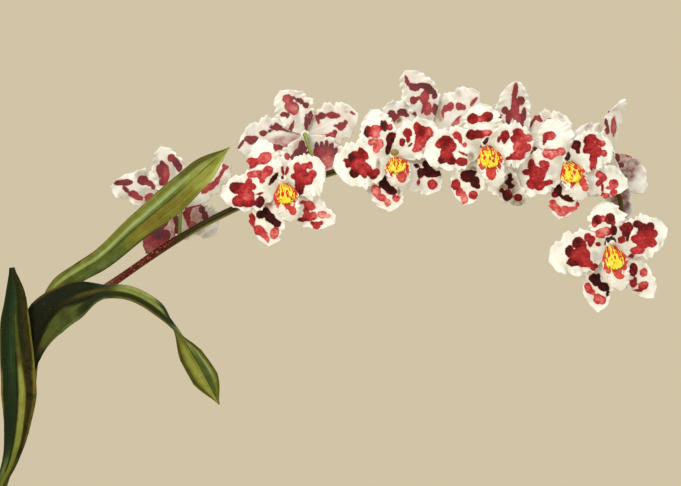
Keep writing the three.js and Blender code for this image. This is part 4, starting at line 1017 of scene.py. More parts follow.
def lobe_paint_group():
    """Uneven lobes of colour, from the distance inside a lobe in mm and its tone."""
    inputs = {"Place": None, "Inside": 0.0, "Tone": 0.5, "Uneven": 1.0}
    outputs = {"Mask": "Float", "Halo": "Float", "Colour": "Color"}
    group, entry, leave = new_group("lobe_paint", inputs, outputs)
    coarse = times(swing(entry["Place"], 300, 2), 1.9)
    fine = times(swing(entry["Place"], 1100, 2), 0.9)
    shaken = plus(times_plus(plus(coarse, fine), entry["Uneven"], entry["Inside"]), 0.52)
    mask = spread(shaken, -0.18, 0.28)
    halo = spread(shaken, -1.1, 0.1)
    mottle = swing(entry["Place"], 420, 4, 0.65)
    rim = spread(shaken, 0.2, 1.6, -0.04, 0.03)
    pool = swing(entry["Place"], 150, 2)
    mottled = times_plus(pool, 0.55, times_plus(mottle, 0.7, entry["Tone"]))
    shade = ramp(plus(mottled, rim), LOBE_TONES)
    put_out(group, leave, Mask=mask, Halo=halo, Colour=shade)
    return group


def veins_group():
    """Fine lines and broader streaks that run from root to tip."""
    inputs = {"Along": 0.0, "Across": 0.0, "Count": 12.0, "Wander": 0.1}
    group, entry, leave = new_group("veins", inputs, {"Lines": "Float", "Streaks": "Float"})
    drift = swing(vector_of(entry["Along"], entry["Across"]), 3, 2)
    across = times_plus(drift, entry["Wander"], entry["Across"])
    turns = times(across, entry["Count"])
    wave = maths("SINE", times(turns, math.pi))
    lines = spread(wave, 0.55, 1.0)
    long_lane = vector_of(times(entry["Along"], 3.0), times(turns, 1.6))
    streaks = grain(long_lane, 1.0, 3, 0.6)
    put_out(group, leave, Lines=lines, Streaks=streaks)
    return group


LOBE_PAINT = lobe_paint_group()
VEINS = veins_group()


def veins_on(tree, count, wander):
    inputs = {"Along": read_value(tree, "along"), "Across": read_value(tree, "across")}
    return use_group(tree, VEINS, {**inputs, "Count": count, "Wander": wander})


def lobes_on(place, uneven):
    tree = place.id_data
    inputs = {"Inside": read_value(tree, "inside"), "Tone": read_value(tree, "tone")}
    return use_group(tree, LOBE_PAINT, {**inputs, "Place": place, "Uneven": uneven})


def tepal_finish():
    """White petal flesh with lobes of colour and greyish green painted shade near its root and in the furrows
    of its margin; on its back the colours are duller.
    """
    finish, tree, shader = new_finish("tepal_flesh", specular_ior_level=0.14)
    place = own_place(tree)
    veins = veins_on(tree, count=9.0, wander=0.12)
    # painted shade: greyish green darkens the root of each tepal, the furrows of the crisped margin and a
    # veil laid at random, with faint vein lines; the margin and point are kept white
    veil = spread(grain(place, 110), 0.42, 0.72, 0.0, 0.5)
    depth = times_plus(veins["Streaks"], -0.3, read_value(tree, "along"))
    throat_shade = spread(depth, -0.16, 0.26, 0.7, 0.0)
    furrow = times(read_value(tree, "furrow"), spread(veins["Streaks"], 0.3, 0.6, 0.3, 0.85))
    line_share = times(veins["Lines"], 0.07)
    margin = spread(maths("ABSOLUTE", read_value(tree, "across")), 0.72, 0.96)
    bright = maths("MAXIMUM", margin, spread(read_value(tree, "along"), 0.78, 0.98))
    keep = times_plus(bright, -0.8, 1.0)
    shade_share = plus(plus(veil, line_share), plus(throat_shade, furrow), clamped=True)
    flesh = blend(times(shade_share, keep), PETAL_WHITE, PETAL_SHADE)
    behind = maths("SUBTRACT", 1.0, read_value(tree, "front"))
    flushed = times(behind, spread(grain(place, 70), 0.4, 0.75, 0.0, 0.5))
    flesh = blend(times(flushed, keep), flesh, PETAL_FLUSH)
    # tints: the grey tint is painted shade, the others the petals' own colours mixed with painted shade
    for label, tint in TINTS.items():
        uneven = spread(grain(place, 240), 0.3, 0.7, 0.55, 1.0)
        share = times(read_value(tree, label), uneven)
        flesh = blend(share, flesh, tint)
    lobes = lobes_on(place, uneven=1.0)
    flesh = blend(times(lobes["Halo"], 0.42), flesh, LOBE_HALO)
    streaked = times(spread(veins["Streaks"], 0.4, 0.75, 0.0, 0.24), read_value(tree, "tone"))
    lobe_colour = blend(streaked, lobes["Colour"], LOBE_STREAK)
    lobe_colour = blend(times(behind, BACK_DULLNESS), lobe_colour, LOBE_BEHIND)
    painted = blend(lobes["Mask"], flesh, lobe_colour)
    height = times_plus(veins["Lines"], -0.5, times(lobes["Mask"], 0.35))
    height = times_plus(grain(place, 900), 0.5, height)
    rough = spread(grain(place, 400), 0.3, 0.7, 0.46, 0.6)
    feed(shader, base_color=painted, roughness=rough, normal=relief(height, 0.35, 0.25))
    return finish


def red_strokes(tree, lanes, dashes, reach, fall):
    """Dashes that run from root to point, thick at the root and the sides, thin on the middle in front."""
    along, across = read_value(tree, "along"), read_value(tree, "across")
    right = times(part_of(own_place(tree), "X"), 30.0)
    lane = vector_of(times(along, dashes), times(across, lanes), right)
    sides = times(times(across, across), 0.16)
    level = times_plus(along, -fall, plus(grain(lane, 1.0, 1, 0.4), sides))
    return spread(plus(level, reach), 0.58, 0.62)


def lip_finish():
    """White lip, yellow about its waist, with lobes of orange red."""
    finish, tree, shader = new_finish("lip_flesh", roughness=0.55, specular_ior_level=0.16)
    place = own_place(tree)
    veins = veins_on(tree, count=7.0, wander=0.2)
    flesh = blend(times(veins["Lines"], 0.2), PETAL_WHITE, LIP_VEIN)
    ragged = times_plus(swing(place, 350), 0.25, read_value(tree, "along"))
    middle = maths("ABSOLUTE", read_value(tree, "across"))
    ragged = times_plus(times(middle, middle), 0.3, ragged)
    yellow = times(spread(ragged, 0.56, 0.63, 1.0, 0.0), read_value(tree, "front"))
    flesh = blend(yellow, flesh, ramp(grain(place, 260), LIP_YELLOWS))
    around = times(spread(ragged, 0.66, 0.74, 1.0, 0.0), read_value(tree, "front"))
    strokes = times(red_strokes(tree, lanes=7.0, dashes=8.0, reach=0.07, fall=0.14), around)
    flesh = blend(strokes, flesh, LIP_STROKE)
    lobes = lobes_on(place, uneven=0.8)
    lobe_colour = blend(0.5, lobes["Colour"], LIP_LOBE)
    painted = blend(lobes["Mask"], flesh, lobe_colour)
    height = times_plus(grain(place, 800), 0.6, times(veins["Lines"], -0.4))
    feed(shader, base_color=painted, normal=relief(height, 0.4, 0.3))
    return finish


def crest_finish():
    """Waxy yellow crest with fine strokes of orange red."""
    finish, tree, shader = new_finish("crest_flesh", roughness=0.45, specular_ior_level=0.2)
    place = own_place(tree)
    yellow = ramp(grain(place, 300), CREST_YELLOWS)
    strokes = red_strokes(tree, lanes=7.5, dashes=5.0, reach=0.06, fall=0.2)
    yellow = blend(strokes, yellow, CREST_STROKE)
    lobes = lobes_on(place, uneven=0.5)
    lobe_colour = blend(0.7, lobes["Colour"], CREST_LOBE)
    painted = blend(lobes["Mask"], yellow, lobe_colour)
    feed(shader, base_color=painted, normal=relief(grain(place, 700), 0.5, 0.4))
    return finish


def column_finish():
    """Column: ivory, with an olive cap on some flowers and dark marks about its tip."""
    finish, tree, shader = new_finish("column_flesh", roughness=0.42, specular_ior_level=0.3)
    place = own_place(tree)
    flesh = ramp(grain(place, 500), COLUMN_IVORIES)
    height = times_plus(grain(place, 800, 2), 0.3, read_value(tree, "along"))
    cap = spread(height, 0.86, 1.04)
    flesh = blend(times(cap, read_value(tree, "olive")), flesh, COLUMN_CAP)
    blush = spread(grain(place, 650, 2), 0.58, 0.66, 0.0, 0.6)
    flesh = blend(times(blush, read_value(tree, "blush")), flesh, COLUMN_BLUSH)
    lobes = lobes_on(place, uneven=0.4)
    painted = blend(lobes["Mask"], flesh, lobes["Colour"])
    feed(shader, base_color=painted, normal=relief(grain(place, 900), 0.4, 0.3))
    return finish


def leaf_finish():
    """Leathery leaf with parallel veins; light, cool and brown say its shade from place to place, and light
    carries painted highlights and shade along with the leaf's own dark and pale greens.
    """
    finish, tree, shader = new_finish("leaf_skin", specular_ior_level=0.07)
    place = own_place(tree)
    veins = veins_on(tree, count=11.0, wander=0.05)
    lively = spread(read_value(tree, "light"), 0.0, 0.5, 0.2, 1.0)
    streak = times(maths("SUBTRACT", veins["Streaks"], 0.5), 0.5)
    cloud = times(swing(place, 160, 4, 0.6), 0.28)
    uneven = times(plus(streak, cloud), lively)
    light = plus(read_value(tree, "light"), uneven)
    light = times_plus(veins["Lines"], -0.03, light)
    warm, cool = ramp(light, LEAF_WARM_TONES), ramp(light, LEAF_COOL_TONES)
    cool_share = plus(read_value(tree, "cool"), cloud, clamped=True)
    skin = blend(cool_share, warm, cool)
    brown = times(read_value(tree, "brown"), spread(grain(place, 220), 0.3, 0.6))
    skin = blend(brown, skin, LEAF_BROWN)
    scurf = spread(grain(place, 1300, 2), 0.7, 0.76, 0.0, 0.4)
    skin = blend(scurf, skin, LEAF_SCURF)
    rough = spread(veins["Streaks"], 0.3, 0.7, 0.48, 0.62)
    height = times_plus(veins["Lines"], -0.6, times(grain(place, 500), 0.4))
    feed(shader, base_color=skin, roughness=rough, normal=relief(height, 0.5, 0.35))
    return finish


def stem_finish():
    """Flower stem: brown at first, speckled red brown in its rise, olive along its arch; light is painted on
    the arch's underside, and the stalks are painted lit on top and shaded beneath.
    """
    finish, tree, shader = new_finish("stem_skin", roughness=0.5, specular_ior_level=0.1)
    place = own_place(tree)
    reach = times_plus(swing(place, 60), 0.02, part_of(place, "X"))
    across = spread(reach, 0.0, 0.46, smooth=False)
    body = ramp(across, STEM_TONES)
    speck = spread(grain(place, 620, 3, 0.6), 0.56, 0.68, 0.0, 0.75)
    specked = spread(across, 0.25, 0.3, 1.0, 0.12)
    body = blend(times(speck, specked), body, STEM_SPECK)
    # painted light: by the way a place faces, the arch is paler underneath and the stalks lighter on top and
    # darker beneath
    facing = place_node(tree, "ShaderNodeNewGeometry").outputs["Normal"]
    down = part_of(facing, "Z")
    under = spread(down, -0.3, -0.75, 0.0, 0.85)
    under = times(under, spread(across, 0.27, 0.31, 0.12, 1.0))
    body = blend(under, body, STEM_UNDERSIDE_LIGHT)
    stalk = blend(spread(down, -0.2, 0.7), STALK_UNDERSIDE_SHADE, STALK_LIT_TOP)
    stalk = blend(spread(grain(place, 260), 0.5, 0.75, 0.0, 0.5), stalk, STALK_BLUSH)
    skin = blend(read_value(tree, "stalk"), body, stalk)
    skin = blend(read_value(tree, "bract"), skin, BRACT_ROSE)
    feed(shader, base_color=skin, normal=relief(grain(place, 600, 4), 0.4, 0.3))
    return finish


def bulb_finish():
    """Glossy pseudobulb, yellow green with painted shade in its furrows and small brown freckles."""
    finish, tree, shader = new_finish("bulb_skin", specular_ior_level=0.5)
    place = own_place(tree)
    level = times_plus(swing(place, 70, 4), 0.6, read_value(tree, "level"))
    skin = ramp(level, BULB_TONES)
    # painted shade: darker green down in the furrows between the ribs
    furrow = times(read_value(tree, "furrow"), 0.55)
    skin = blend(furrow, skin, BULB_FURROW_SHADE)
    freckle = spread(grain(place, 850, 2), 0.66, 0.72, 0.0, 0.65)
    skin = blend(freckle, skin, BULB_FRECKLE)
    rough = spread(grain(place, 300), 0.35, 0.7, 0.24, 0.44)
    feed(shader, base_color=skin, roughness=rough, normal=relief(grain(place, 380, 4), 0.35, 0.4))
    return finish


def sheath_finish():
    """Dry sheath: straw coloured paper with brown fibres."""
    finish, tree, shader = new_finish("dry_sheath_paper", roughness=0.8, specular_ior_level=0.2)
    veins = veins_on(tree, count=16.0, wander=0.08)
    paper = ramp(veins["Streaks"], SHEATH_STRAWS)
    paper = blend(spread(read_value(tree, "along"), 0.75, 1.0, 0.0, 0.7), paper, SHEATH_TIP)
    height = plus(veins["Lines"], veins["Streaks"])
    feed(shader, base_color=paper, normal=relief(height, 0.7, 0.5))
    return finish


def moss_finish():
    """Living moss: deep green between its tufts, yellow green at their tips."""
    finish, tree, shader = new_finish("moss_green", roughness=0.9, specular_ior_level=0.15)
    place = own_place(tree)
    tip = times_plus(grain(place, 120), 0.5, times(read_value(tree, "tip"), 0.6))
    green = ramp(tip, MOSS_GREENS)
    feed(shader, base_color=green, normal=relief(grain(place, 900, 4, 0.7), 0.9, 1.0))
    return finish


def clay_finish(name, chalk):
    """Weathered clay: fired orange brown, with grit and a chalky bloom."""
    finish, tree, shader = new_finish(name, roughness=0.86, specular_ior_level=0.25)
    place = own_place(tree)
    fired = ramp(grain(place, 22, 5, 0.6), CLAY_TONES)
    grit = spread(grain(place, 1400), 0.58, 0.7, 0.0, 0.35)
    fired = blend(grit, fired, CLAY_GRIT)
    cloud = spread(grain(place, 34, 6, 0.7), 0.5, 0.68, 0.0, chalk)
    fired = blend(cloud, fired, CLAY_BLOOM)
    pits = times(grain(place, 1500, 2), 0.3)
    height = times_plus(grain(place, 260, 5, 0.65), 0.7, pits)
    feed(shader, base_color=fired, normal=relief(height, 0.45, 0.5))
    return finish


def bark_finish(name, dark, light):
    """Crumbly dark stuff of bark and fibre."""
    finish, tree, shader = new_finish(name, roughness=0.95, specular_ior_level=0.12)
    place = own_place(tree)
    cells = place_node(tree, "ShaderNodeTexVoronoi", {"Vector": place, "Scale": 180.0})
    tone = times_plus(grain(place, 500), 0.5, times(cells.outputs["Distance"], 0.6))
    feed(shader, base_color=ramp(tone, [(0.2, dark), (0.7, light)]),
         normal=relief(cells.outputs["Distance"], 0.9, 1.5))
    return finish


# flowers

def lobes_at(marks, x, z):
    """How far inside a lobe a place is, in mm, and the tone there."""
    joined, weight, tone = 0.0, 0.0, 0.0
    for across, above, half_width, half_height, turn, shade in marks:
        lean = math.radians(turn)
        east, north = x - across, z - above
        u = (east * math.cos(lean) + north * math.sin(lean)) / half_width
        v = (north * math.cos(lean) - east * math.sin(lean)) / half_height
        inside = (1 - math.hypot(u, v)) * min(half_width, half_height)
        if inside < FAR_OUTSIDE:
            continue
        joined += math.exp(inside / LOBE_JOIN)
        pull = math.exp(inside / TONE_JOIN)
        weight += pull
        tone += shade * pull
    if weight == 0:
        return FAR_OUTSIDE, 0.5
    return max(LOBE_JOIN * math.log(max(joined, 1e-12)), FAR_OUTSIDE), tone / weight


def tints_at(tints, x, z):
    """How strongly each tint lies on a place."""
    shares = dict.fromkeys(TINTS, 0.0)
    for across, above, half_width, half_height, label in tints:
        inside = 1 - math.hypot((x - across) / half_width, (z - above) / half_height)
        shares[label] = max(shares[label], smoothstep(inside, -0.35, 0.45))
    return shares


def sway_at(form, phase, t, s):
    """The slow wave of a margin."""
    return math.sin(2 * math.pi * form["waves"] * t + phase + (2 if s < 0 else 0))


def ripple_at(phase, t, s):
    """The quick ripple of a margin."""
    return math.sin(RIPPLE_TURNS * math.pi * t + RIPPLE_LEAN * phase * (1 if s >= 0 else 2))


def tepal_place(flower, tepal, phase):
    """One sepal or petal as on the frame, with a crisped margin and a rounded point."""
    form = TEPAL_FORMS[tepal["kind"]]
    bend, lift = tepal.get("bend", 0), tepal.get("lift", 0)
    centre = Vector(flower["at"])
    length = math.hypot(tepal["x"], tepal["z"])
    ahead = Vector((tepal["x"] / length, 0, tepal["z"] / length))
    facing = Vector((0, flower["faces"], 0))
    side = turned(facing.cross(ahead), ahead, tepal.get("roll", 0))
    rise = -ahead.cross(side)
    if rise.dot(facing) < 0:
        rise.negate()

    def place(t, s):
        belly = max(math.sin(math.pi * t ** form["widest"]), 0) ** form["full"]
        half = max(tepal["width"] / 2 * belly, mix(CLAW_HALF, TIP_HALF, t))
        hand = 1 if s >= 0 else 2
        ragged = noise.noise(Vector((9 * t, 3.7 * phase, 5 * hand)))
        nick = 0.12 * ragged
        for depth, turns, lean, flush in NICKS:
            nick += depth * (abs(math.sin(turns * t + lean * phase * hand)) - flush)
        nick += 0.03 * math.sin(71 * t + phase)
        half *= 1 + nick * smoothstep(abs(s), 0.45, 1.0) * smoothstep(t, 0.12, 0.35)
        point_share = clamp((t - 0.92) / 0.08)
        half *= max(1 - point_share ** 1.6, 0.12)
        edge = s * s * smoothstep(t, 0.1, 0.5)
        out = (form["layer"] + form["bow"] * math.sin(math.pi * t) + (form["tip"] + lift) * t * t
               + form["cup"] * s * s * t + form["wave"] * sway_at(form, phase, t, s) * edge)
        out += RIPPLE_DEPTH * ripple_at(phase, t, s) * abs(s) ** 4 * smoothstep(t, 0.08, 0.3)
        out -= MIDRIB_DEPTH * math.exp(-(s / MIDRIB_WIDTH) ** 2) * smoothstep(t, 0.0, 0.2) * (1 - t)
        point = centre + ahead * mix(TEPAL_ROOT, length, t)
        point += side * (s * half - flower["faces"] * bend * math.sin(math.pi * t))
        return point + rise * out

    return place


def furrow_at(tepal, phase, t, s):
    """How deep a place lies between the waves of the margin, from 0 to 1; the finish paints shade there."""
    sway, ripple = sway_at(TEPAL_FORMS[tepal["kind"]], phase, t, s), ripple_at(phase, t, s)
    low = 0.55 * smoothstep(-sway, 0.0, 1.0) + 0.45 * smoothstep(-ripple, 0.1, 1.0)
    return low * smoothstep(abs(s), 0.25, 0.95) * smoothstep(t, 0.08, 0.3)


def tell_front(values, place, faces_to):
    """Turns the side of a blade's faces into front: 1 on the faces that look out of the flower."""
    ahead = place(0.51, 0) - place(0.5, 0)
    towards = ahead.cross(place(0.5, 0.1) - place(0.5, 0)).y * faces_to
    side = values.pop("side")
    values["front"] = side if towards > 0 else [1 - v for v in side]


def tepals_shape(flower, number):
    """The three sepals and two petals of a flower, with their marks and tints."""
    shape = Shape()
    heart = flower["at"]
    for i, tepal in enumerate(flower["tepals"]):
        # the heart marks, crimson lobes and painted shadow about the column, lie on each tepal too
        marks, tints = flower["marks"][i] + flower.get("heart_marks_and_shadow", []), flower["tints"][i]
        phase = 1.9 * number + 2.6 * i

        def measure(point, t, s):
            x, z = point.x - heart[0], point.z - heart[2]
            inside, tone = lobes_at(marks, x, z)
            furrow = furrow_at(tepal, phase, t, s)
            return dict(inside=inside, tone=tone, furrow=furrow, **tints_at(tints, x, z))

        place = tepal_place(flower, tepal, phase)
        corners, faces, values = blade(place, TEPAL_ROWS, TEPAL_COLUMNS, PETAL_THICKNESS, measure)
        tell_front(values, place, flower["faces"])
        shape.add(corners, faces, values)
    return shape


def column_shape(flower):
    """Hub and column: a slim body with two short wings and a cap at its tip."""
    shape = Shape()
    corners, faces = lathe(HUB_PROFILE, HUB_SIDES)
    heart = Vector(flower["at"])
    upright = [Matrix.Rotation(math.radians(90), 3, "X") @ corner + heart for corner in corners]
    shape.add(upright, faces, {"inside": [UNPAINTED] * len(corners)})
    corners, faces = lathe(COLUMN_PROFILE, COLUMN_SIDES)
    made, blush = [], []
    for corner in corners:
        length = corner.z
        wing = 1.1 * smoothstep(length, 6.5, 9.5) * (1 - smoothstep(length, 10.5, 12.5))
        spread_out = 1 + 0.28 * wing * abs(corner.x) / max(math.hypot(corner.x, corner.y), 1e-6)
        ahead = Vector((corner.x * spread_out, length * flower["faces"], corner.y * 0.92))
        made.append(Matrix.Rotation(flower["faces"] * math.radians(COLUMN_TILT), 3, "X") @ ahead + heart)
        blush.append(1.0 if corner.y < 0 else 0.1)
    if flower["faces"] == BACK:
        faces = [face[::-1] for face in faces]
    # the heart marks are crimson lobes and nearly black painted shadow about the column
    marks = flower.get("heart_marks_and_shadow", [])
    painted = [lobes_at(marks, point.x - heart.x, point.z - heart.z) for point in made]
    shape.add(made, faces, {
        "along": [corner.z / COLUMN_LENGTH for corner in corners],
        "blush": blush,
        "olive": [flower.get("olive_cap", 0.0)] * len(made),
        "inside": [inside for inside, tone in painted],
        "tone": [tone for inside, tone in painted],
    })
    return shape


def lip_place(flower, number):
    """Lip as on the frame: forward under the column, then hanging."""
    facing = Vector((0, flower["faces"], 0))
    heart = Vector(flower["at"])
    hang = Vector((flower["lip"][0], 0, flower["lip"][1]))
    root = heart + facing * LIP_ROOT_AHEAD + Vector((0, 0, -LIP_ROOT_DROP))
    ahead = heart + hang + facing * LIP_REACH - root
    side = facing.cross(hang.normalized())

    def place(t, s):
        share = clamp(t)
        lobe = LIP_SIDE_LOBE * math.exp(-((share - LIP_SIDE_LOBE_AT) / LIP_SIDE_LOBE_SPAN) ** 2)
        broad = LIP_SPREAD * max(math.sin(math.pi * share ** 1.6), 0) ** 0.55
        half = LIP_WAIST_HALF + lobe + broad - LIP_TAPER * share
        sway = math.sin(6 * math.pi * t + number + (1.7 if s < 0 else 0))
        depth = LIP_ARCH * math.sin(math.pi * share) + (1.1 * sway - 1.4) * s * s * share
        return root + ahead * t + side * (s * half) + facing * depth

    return place


def crisp_lip_place(flower, number):
    """The same lip with a toothed, frilled margin and a notched point."""
    under = lip_place(flower, number)
    facing = Vector((0, flower["faces"], 0))

    def place(t, s):
        hand = 1 if s >= 0 else 2
        tooth = 0.17 * (abs(math.sin(21 * t + number * hand)) - 0.62)
        tooth += 0.07 * math.sin(67 * t + 3 * number * hand)
        broad = s * (1 + tooth * smoothstep(abs(s), 0.6, 1.0) * smoothstep(t, 0.25, 0.5))
        tail = clamp((t - 0.9) / 0.1)
        broad *= max(1 - tail ** 1.8, 0.2)
        frill = 0.55 * math.sin(22 * math.pi * t + 2 * number * hand) * abs(s) ** 4 * smoothstep(t, 0.35, 0.6)
        return under(t, broad) + facing * frill

    return place


def lip_shape(flower, number):
    """The lip of a flower, with its marks."""
    shape = Shape()
    heart = flower["at"]
    marks = flower.get("lip_marks", [])

    def measure(point, t, s):
        inside, tone = lobes_at(marks, point.x - heart[0], point.z - heart[2])
        return dict(inside=inside, tone=tone)

    place = crisp_lip_place(flower, number)
    corners, faces, values = blade(place, LIP_ROWS, LIP_COLUMNS, PETAL_THICKNESS, measure)
    tell_front(values, place, flower["faces"])
    shape.add(corners, faces, values)
    return shape


def crest_shape(flower, number):
    """Crest: two fleshy ridges that part into small teeth in front."""
    shape = Shape()
    under = lip_place(flower, number)
    facing = Vector((0, flower["faces"], 0))
    heart = flower["at"]
    marks = flower.get("crest_marks", [])

    def place(t, s):
        ridge = 1.05 * math.sin(math.pi * abs(s)) ** 1.4 * (1 - 0.55 * t)
        fingers = 0.5 + 0.5 * math.cos(6 * math.pi * s + 0.6 * math.sin(number + 5 * s))
        teeth = 0.9 * (fingers - 0.6) * smoothstep(t, 0.25, 1.0)
        lump = 0.22 * math.sin(7 * math.pi * t + 3 * s)
        reach = 0.1 + 0.42 * t * (1 - (0.26 - 0.24 * fingers + 0.12 * s * s) * smoothstep(t, 0.3, 1.0))
        point = under(reach, s * (0.84 - 0.2 * t))
        return point + facing * (CREST_HEIGHT + ridge + teeth + lump)

    def measure(point, t, s):
        inside, tone = lobes_at(marks, point.x - heart[0], point.z - heart[2])
        return dict(inside=inside - 0.35, tone=tone)

    shape.add(*blade(place, CREST_ROWS, CREST_COLUMNS, CREST_THICKNESS, measure))
    return shape


# leaves

def listed(numbers, t):
    """A number between those that are listed from root to tip."""
    place = clamp(t) * (len(numbers) - 1)
    low = min(int(place), len(numbers) - 2)
    return mix(numbers[low], numbers[low + 1], smoothstep(place - low, -0.15, 1.15))


def leaf_shape(form):
    """A folded, twisted blade with a sunk midrib, and the washes of colour on it, painted light and shade
    among them.
    """
    shape = Shape()
    line = Line(form["spine"])
    half, roll, fold = form["half"], form["roll"], form["fold"]

    def place(t, s):
        tangent = line.tangent(clamp(t))
        back = (UP.cross(Vector((1, 0, 0))) - tangent * tangent.y).normalized()
        side = turned(tangent.cross(back), tangent, -listed(roll, t))
        face = side.cross(tangent)
        reach = abs(s) * listed(half, t)
        point_share = clamp((t - 0.965) / 0.035)
        reach *= math.sqrt(max(1 - point_share * point_share, form.get("blunt", 0.08)))
        folded = math.radians(listed(fold, t))
        keel = KEEL_DEPTH * math.exp(-(s / KEEL_WIDTH) ** 2)
        point = line.point(t) + side * (math.copysign(1, s) * reach * math.cos(folded))
        return point + face * (reach * math.sin(folded) - keel)

    def measure(point, t, s):
        values = dict(form["shade"])
        drift = 0.05 * noise.noise(Vector((14 * t, 2 * s, 3)))
        for start, end, low, high, shade, more in form["washes"]:
            ahead = clamp((t - start) / (end - start))
            lower, upper = mix(low, more.get("low", low), ahead), mix(high, more.get("high", high), ahead)
            soft, fade = more.get("soft", 0.05), more.get("fade", 0.02)
            share = (smoothstep(t, start - fade, start + fade) * (1 - smoothstep(t, end - fade, end + fade))
                     * smoothstep(s + drift, lower - soft, lower + soft)
                     * (1 - smoothstep(s + drift, upper - soft, upper + soft)))
            for label, value in zip(("light", "cool", "brown"), shade):
                values[label] = mix(values[label], value, share)
        return values

    shape.add(*blade(place, form["rows"], LEAF_COLUMNS, LEAF_THICKNESS, measure, rim=LEAF_RIM))
    return shape


# flower stem

LAST_HEART = FLOWERS[-1]["at"]
STEM_LINE = Line([
    (-7, 14.5, 106.6), (-8, 14.5, 150), (-8, 13, 180), (-5, 10, 197), (1.5, 8, 218), (10, 7, 241),
    (15.5, 6.5, 267), (20, 6, 295), (31.5, 5, 316), (52.5, 3, 332), (76.5, 1, 347), (124.5, 0, 379.5),
    (169.5, 0, 403.5), (238, 0, 429), (277.5, 0, 439.5), (315, 0, 445.5), (360, 0, 447), (397.5, 0, 443.5),
    (427.5, 0, 437), (447, -1, 427), (457, -4, 411), (457, -8, 395), (452, -13, 382),
    (LAST_HEART[0], LAST_HEART[1] + 2 * STALK_END, LAST_HEART[2]),
    (LAST_HEART[0], LAST_HEART[1] + STALK_END, LAST_HEART[2]),
])


def stem_radius(share):
    return mix(STEM_FOOT_RADIUS, STEM_TOP_RADIUS, smoothstep(share, 0.35, 1))


def stem_share_at(x):
    """How far along the stem it first reaches this far right."""
    share = 0.25
    while STEM_LINE.point_at(share).x < x:
        share += 0.001
    return share


def stem_shape():
    """The arched stem, and for each flower on it a stalk and a bract under it."""
    shape = Shape()
    ripple = lambda share, angle: 0.03 * math.sin(5 * angle) + 0.03 * math.sin(90 * share)
    stalk_radius = lambda share: STALK_RADIUS + STALK_FLARE * smoothstep(share, 0.75, 1.0)
    shape.add(*bar(STEM_LINE, stem_radius, STEM_SIDES, STEM_STEPS, ripple))
    for flower in FLOWERS:
        if flower["stem_x"] is None:
            continue
        heart, faces_to = flower["at"], flower["faces"]
        start = STEM_LINE.point_at(stem_share_at(flower["stem_x"]))
        end = Vector((heart[0], heart[1] - faces_to * STALK_END, heart[2]))
        bend = Vector((mix(start.x, end.x, 0.6), mix(start.y, end.y, 0.35), mix(start.z, end.z, 0.6)))
        line = Line([start, bend, end - Vector((0, faces_to * STALK_RUN, 0)), end])
        corners, faces, values = bar(line, stalk_radius, STALK_SIDES, STALK_STEPS)
        values["stalk"] = [1.0] * len(corners)
        shape.add(corners, faces, values)
        share = stem_share_at(flower["stem_x"] - BRACT_SETBACK)
        foot, tangent = STEM_LINE.point_at(share), STEM_LINE.tangent_at(share)
        out = Vector((0, faces_to, 0.5)).normalized()
        across = tangent.cross(out)

        def place(t, s):
            width = BRACT_HALF * math.sin(math.pi * (0.3 + 0.68 * t)) ** 0.8
            clasp = 1.2 * s * s * (1 - t)
            off = stem_radius(share) - 0.5 + 2.6 * t * t - clasp
            return foot + tangent * (BRACT_LENGTH * t) + out * off + across * (s * width)

        corners, faces, values = blade(place, BRACT_ROWS, BRACT_COLUMNS, BRACT_THICKNESS)
        del values["side"], values["across"]
        values["bract"] = [0.8] * len(corners)
        shape.add(corners, faces, values)
    return shape


# pot and what fills it

def pot_inner_radius(z):
    return mix(POT_FOOT_RADIUS, POT_TOP_RADIUS - RIM_STEP, z / POT_HEIGHT) - POT_WALL


MOSS_RADIUS = pot_inner_radius(COMPOST_TOP) - MOSS_GAP


